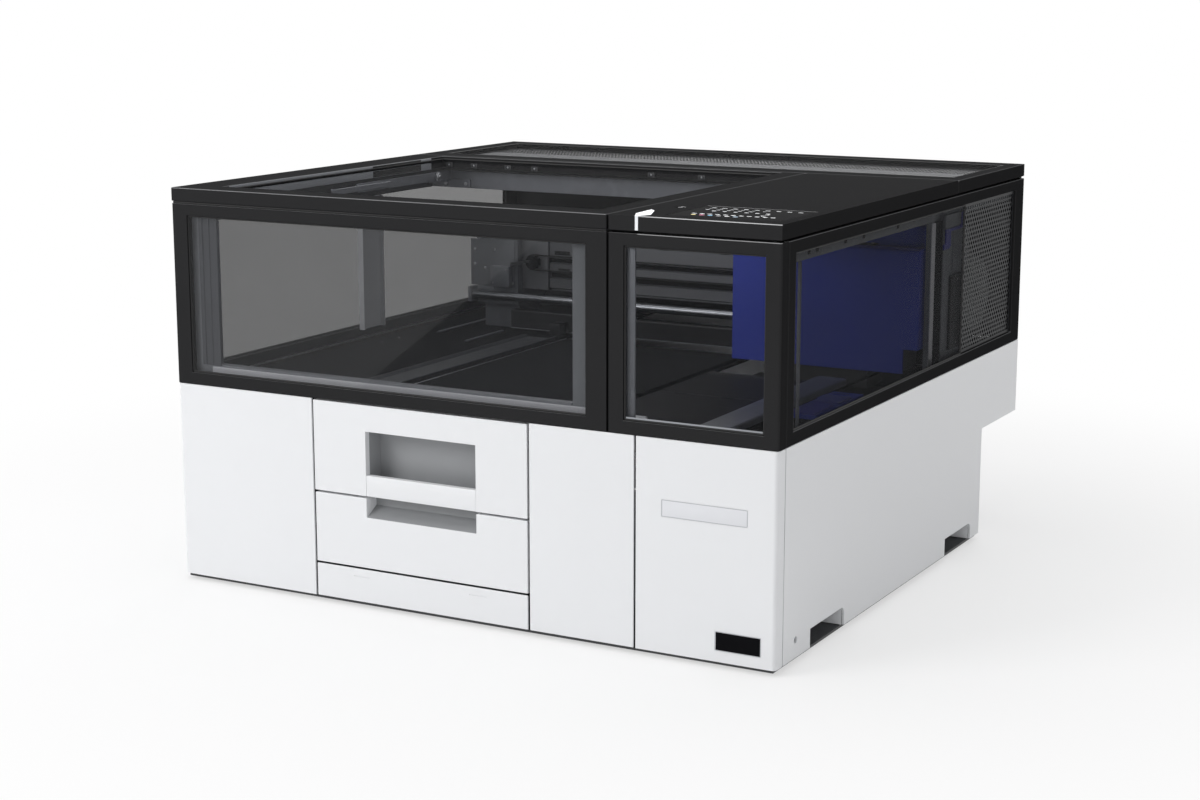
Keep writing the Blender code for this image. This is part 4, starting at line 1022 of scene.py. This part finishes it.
def make_gantry_fittings():
    """Face plate and bracket on the left end of the rail, and the small openings along the beam."""
    face = 0.1684
    piece("gantry_face_plate", "steel_grey",
          slab((-0.385, face, 0.375), (-0.298, 0.1697, 0.455), 0.0004, "Y", corner=0.002),
          slab((-0.372, face, 0.3495), (-0.338, 0.1697, 0.3745), 0.0004, "Y", corner=0.001))
    bolts("gantry_plate_screws", "satin_aluminium", [(x, face, z) for x, z in GANTRY_SCREWS], "-Y", 0.0024,
          0.0014)
    piece("belt_bracket", "steel_grey",
          slab((-0.339, 0.155, 0.3765), (-0.301, 0.168, 0.412), 0.0012, "Y", corner=0.002))
    bolts("belt_bracket_screws", "dull_zinc",
          [(x, 0.155, z) for x, z in ((-0.333, 0.383), (-0.307, 0.406))], "-Y", 0.002, 0.001)
    piece("motor_plate", "beam_grey",
          slab((-0.2912, 0.1838, 0.373), (-0.2402, 0.1874, 0.4695), 0.0004, "Y", corner=0.001))
    piece("encoder_arm", "plastic_dark",
          carried([(-0.301, 0.411), (-0.301, 0.419), (-0.274, 0.4245), (-0.264, 0.4245), (-0.264, 0.4205),
                   (-0.276, 0.4195)],
                  0.16, 0.166, "Y", 0.0004))
    beam = low("gantry_beam")[1]
    holes = [((-0.2298, 0.434), (-0.2, 0.4405)), ((-0.2223, 0.4072), (-0.2, 0.411)),
             ((-0.03, 0.454), (-0.012, 0.458)), ((0.08, 0.454), (0.098, 0.458))]
    piece("beam_openings", "rubber_black",
          *[slab((x0, beam - 0.0003, z0), (x1, beam + 0.0002, z1), 0.0001, "Y")
            for (x0, z0), (x1, z1) in holes])
    # painted shade: black strips in the beam's grooves
    grooves = [slab((-0.2385, beam + 0.0056, z0), (0.469, beam + 0.0067, z1), 0.0002, "Y")
               for z0, z1 in ((0.4202, 0.4268), (0.3947, 0.4028))]
    piece("beam_groove_shade_strips", "rubber_black", *grooves)
    bolts("beam_screws", "dull_zinc", [(x, beam, 0.462) for x in (-0.225, -0.11, 0.02, 0.15, 0.29, 0.43)],
          "-Y", 0.0018, 0.0009)


def make_carriage_trim():
    """Lighter ledge along the carriage cover's step, with the dark label seat and its two studs."""
    cover_low, cover_high = low("carriage_cover"), high("carriage_cover")
    step = [(0.0775, 0.4973), (0.1075, 0.4973), (0.1075, 0.506), (0.106, 0.506), (0.105, 0.4996),
            (0.0775, 0.499)]
    piece("carriage_ledge", "violet_moulding",
          carried(step, cover_low[0] + 0.002, cover_high[0] - 0.002, "X", 0.0004), body="carriage")
    piece("carriage_seat", "plastic_dark", slab((0.356, 0.08, 0.499), (0.39, 0.099, 0.501), 0.0005),
          body="carriage")
    bolts("carriage_studs", "satin_aluminium", [(0.362, 0.09, 0.501), (0.384, 0.09, 0.501)], "+Z", 0.0026,
          0.0012, body="carriage")
    front = cover_low[1]
    piece("carriage_seam", "violet_moulding",
          slab((cover_high[0] - 0.0006, front + 0.006, 0.35),
               (cover_high[0] + 0.0006, front + 0.0085, 0.49), 0.0003, "X"),
          body="carriage")


def make_wiper_plates():
    """Stepped violet plates on the wiper tray."""
    top = 0.3041
    front = [(0.3995, -0.256), (0.44, -0.256), (0.44, -0.186), (0.43, -0.182), (0.43, -0.174),
             (0.406, -0.174), (0.406, -0.184), (0.3995, -0.188)]
    rear = [(0.403, -0.172), (0.441, -0.172), (0.441, -0.121), (0.399, -0.121), (0.399, -0.15),
            (0.403, -0.154)]
    piece("wiper_tray_plate", "violet_moulding", carried(front, top, top + 0.0016, "Z", 0.0004),
          body="wiper")
    piece("wiper_raised_plate", "pale_violet_moulding", carried(rear, top, top + 0.0028, "Z", 0.0006),
          body="wiper")
    piece("wiper_lip", "rubber_black",
          carried([(0.4062, -0.1165), (0.4348, -0.1165), (0.4348, -0.1155), (0.4062, -0.1155)], 0.3077,
                  0.3082, "Z", 0.0001),
          body="wiper")


# Roof and rear ------------------------------------------------------------------------------
def make_rear_roof():
    """Under the rear glass: a plain pale sheet in front and a perforated strip behind it."""
    glass_low, glass_high = low("rear_top_window"), high("rear_top_window")
    left, right = glass_low[0] + 0.001, glass_high[0] - 0.001
    level, seam = 0.586, 0.36
    piece("rear_roof_sheet", "roof_sheet",
          slab((left, glass_low[1] + 0.001, level - 0.0015), (right, seam - 0.0006, level), 0.0004))
    sheet = grille((left, seam), (right, glass_high[1] - 0.001), (level - 0.0012, level), "Z",
                   (0.0064, 0.0062), (0.62, 0.62))
    piece("rear_roof_grille", "mesh_grey", sheet)


ICON_LEVEL = (0.59478, 0.59492)


def make_panel_icons():
    """Generic marks on the touch panel: rows of small symbols, a dot for each ink, two arrow keys, the
    power key's sign and three status dots."""
    under, over = ICON_LEVEL

    def marks(spots, wide, deep):
        block = slab((-wide / 2, -deep / 2, under), (wide / 2, deep / 2, over), 0.00005,
                     corner=min(wide, deep) * 0.3)
        return many(block, [(x, y, 0) for x, y in spots])

    columns = np.linspace(0.33, 0.456, 9)
    rows = [marks([(x, -0.352) for x in columns], 0.0068, 0.0034),
            marks([(x, -0.363) for x in columns[:6]], 0.0046, 0.002),
            marks([(x, -0.373) for x in columns[:5]], 0.0056, 0.0026),
            marks([(x, -0.386) for x in columns[1:7]], 0.0056, 0.005),
            marks([(x, -0.423) for x in np.linspace(0.335, 0.448, 11)], 0.0064, 0.005)]
    piece("panel_symbols", "panel_print", *rows)
    dot = [(0.0034, 0.0), (0.0034, over - under), (0.0024, over - under)]
    for number, name in enumerate(("yellow", "magenta", "cyan", "black", "white", "varnish")):
        spot = (0.34 + 0.0121 * number, -0.436, under)
        piece("ink_lamp_" + name, "ink_" + name, turned(dot, spot, "+Z", sides=20))
    arrows = [[(0.428, y + 0.0045 * way), (0.428 - 0.004 * way, y - 0.0025 * way),
               (0.428 + 0.004 * way, y - 0.0025 * way)]
              for y, way in ((-0.396, 1), (-0.411, -1))]
    piece("panel_keys", "panel_print", *[carried(arrow, under, over, "Z", 0.00005) for arrow in arrows])
    x, y = (low("power_button")[:2] + high("power_button")[:2]) / 2
    top = high("power_button")[2]
    ring = rim((x - 0.003, y - 0.003), (x + 0.003, y + 0.003), top,
               [(0, 0), (0, 0.0002), (-0.0006, 0.0002), (-0.0006, 0)], "Z", corner=0.0029)
    bar = slab((x - 0.0003, y + 0.0012, top), (x + 0.0003, y + 0.004, top + 0.0002), 0.0001)
    piece("power_symbol", "panel_print", ring, bar, body="button")
    dots = turned([(0.0007, 0.0), (0.0007, 0.0002), (0.0004, 0.0002)], (0, 0, TOP - 0.00025), "+Z",
                  sides=12)
    piece("status_dots", "panel_print",
          many(dots, [(0.316 + 0.0045 * step, -0.308, 0) for step in range(3)]))


def make_seam_catches():
    """Black catches that show in the gaps beside the doors."""
    piece("access_door_catches", "plastic_dark",
          *[slab((0.2808, FRONT + 0.0012, z), (0.2829, FRONT + 0.01, z + 0.011), 0.0004)
            for z in (0.262, 0.075)])


def make_rear_screws():
    """Screws along the edges of the rear panels."""
    face = high("rear_upper_panel")[1]
    spots = [(x, face, z) for z in (0.32, 0.555) for x in (-0.46, -0.23, 0.0, 0.23, 0.46)]
    spots += [(x, face, z) for z in (0.285, 0.195) for x in (-0.465, -0.155, 0.155, 0.465)]
    bolts("rear_panel_screws", "dull_zinc", spots, "+Y", 0.0034, 0.0009)


# Build --------------------------------------------------------------------------------------
make_camera()
make_world()
make_lights()
make_floor()
dress_nodes()
for make in (make_labels, make_grip_facings, make_pockets, make_outer_screws, make_seals,
             make_side_grille, make_front_door_trim, make_roof_rails, make_crossbar_fittings,
             make_right_post, make_fan_shroud, make_left_post, make_deck_plates, make_well_shade_floors,
             make_deck_beam, make_rear_apron, make_table_strips, make_cable_trough, make_gantry_fittings,
             make_carriage_trim, make_wiper_plates, make_rear_roof, make_panel_icons, make_seam_catches,
             make_rear_screws):
    make()

bpy.context.scene.view_settings.view_transform = "Standard"
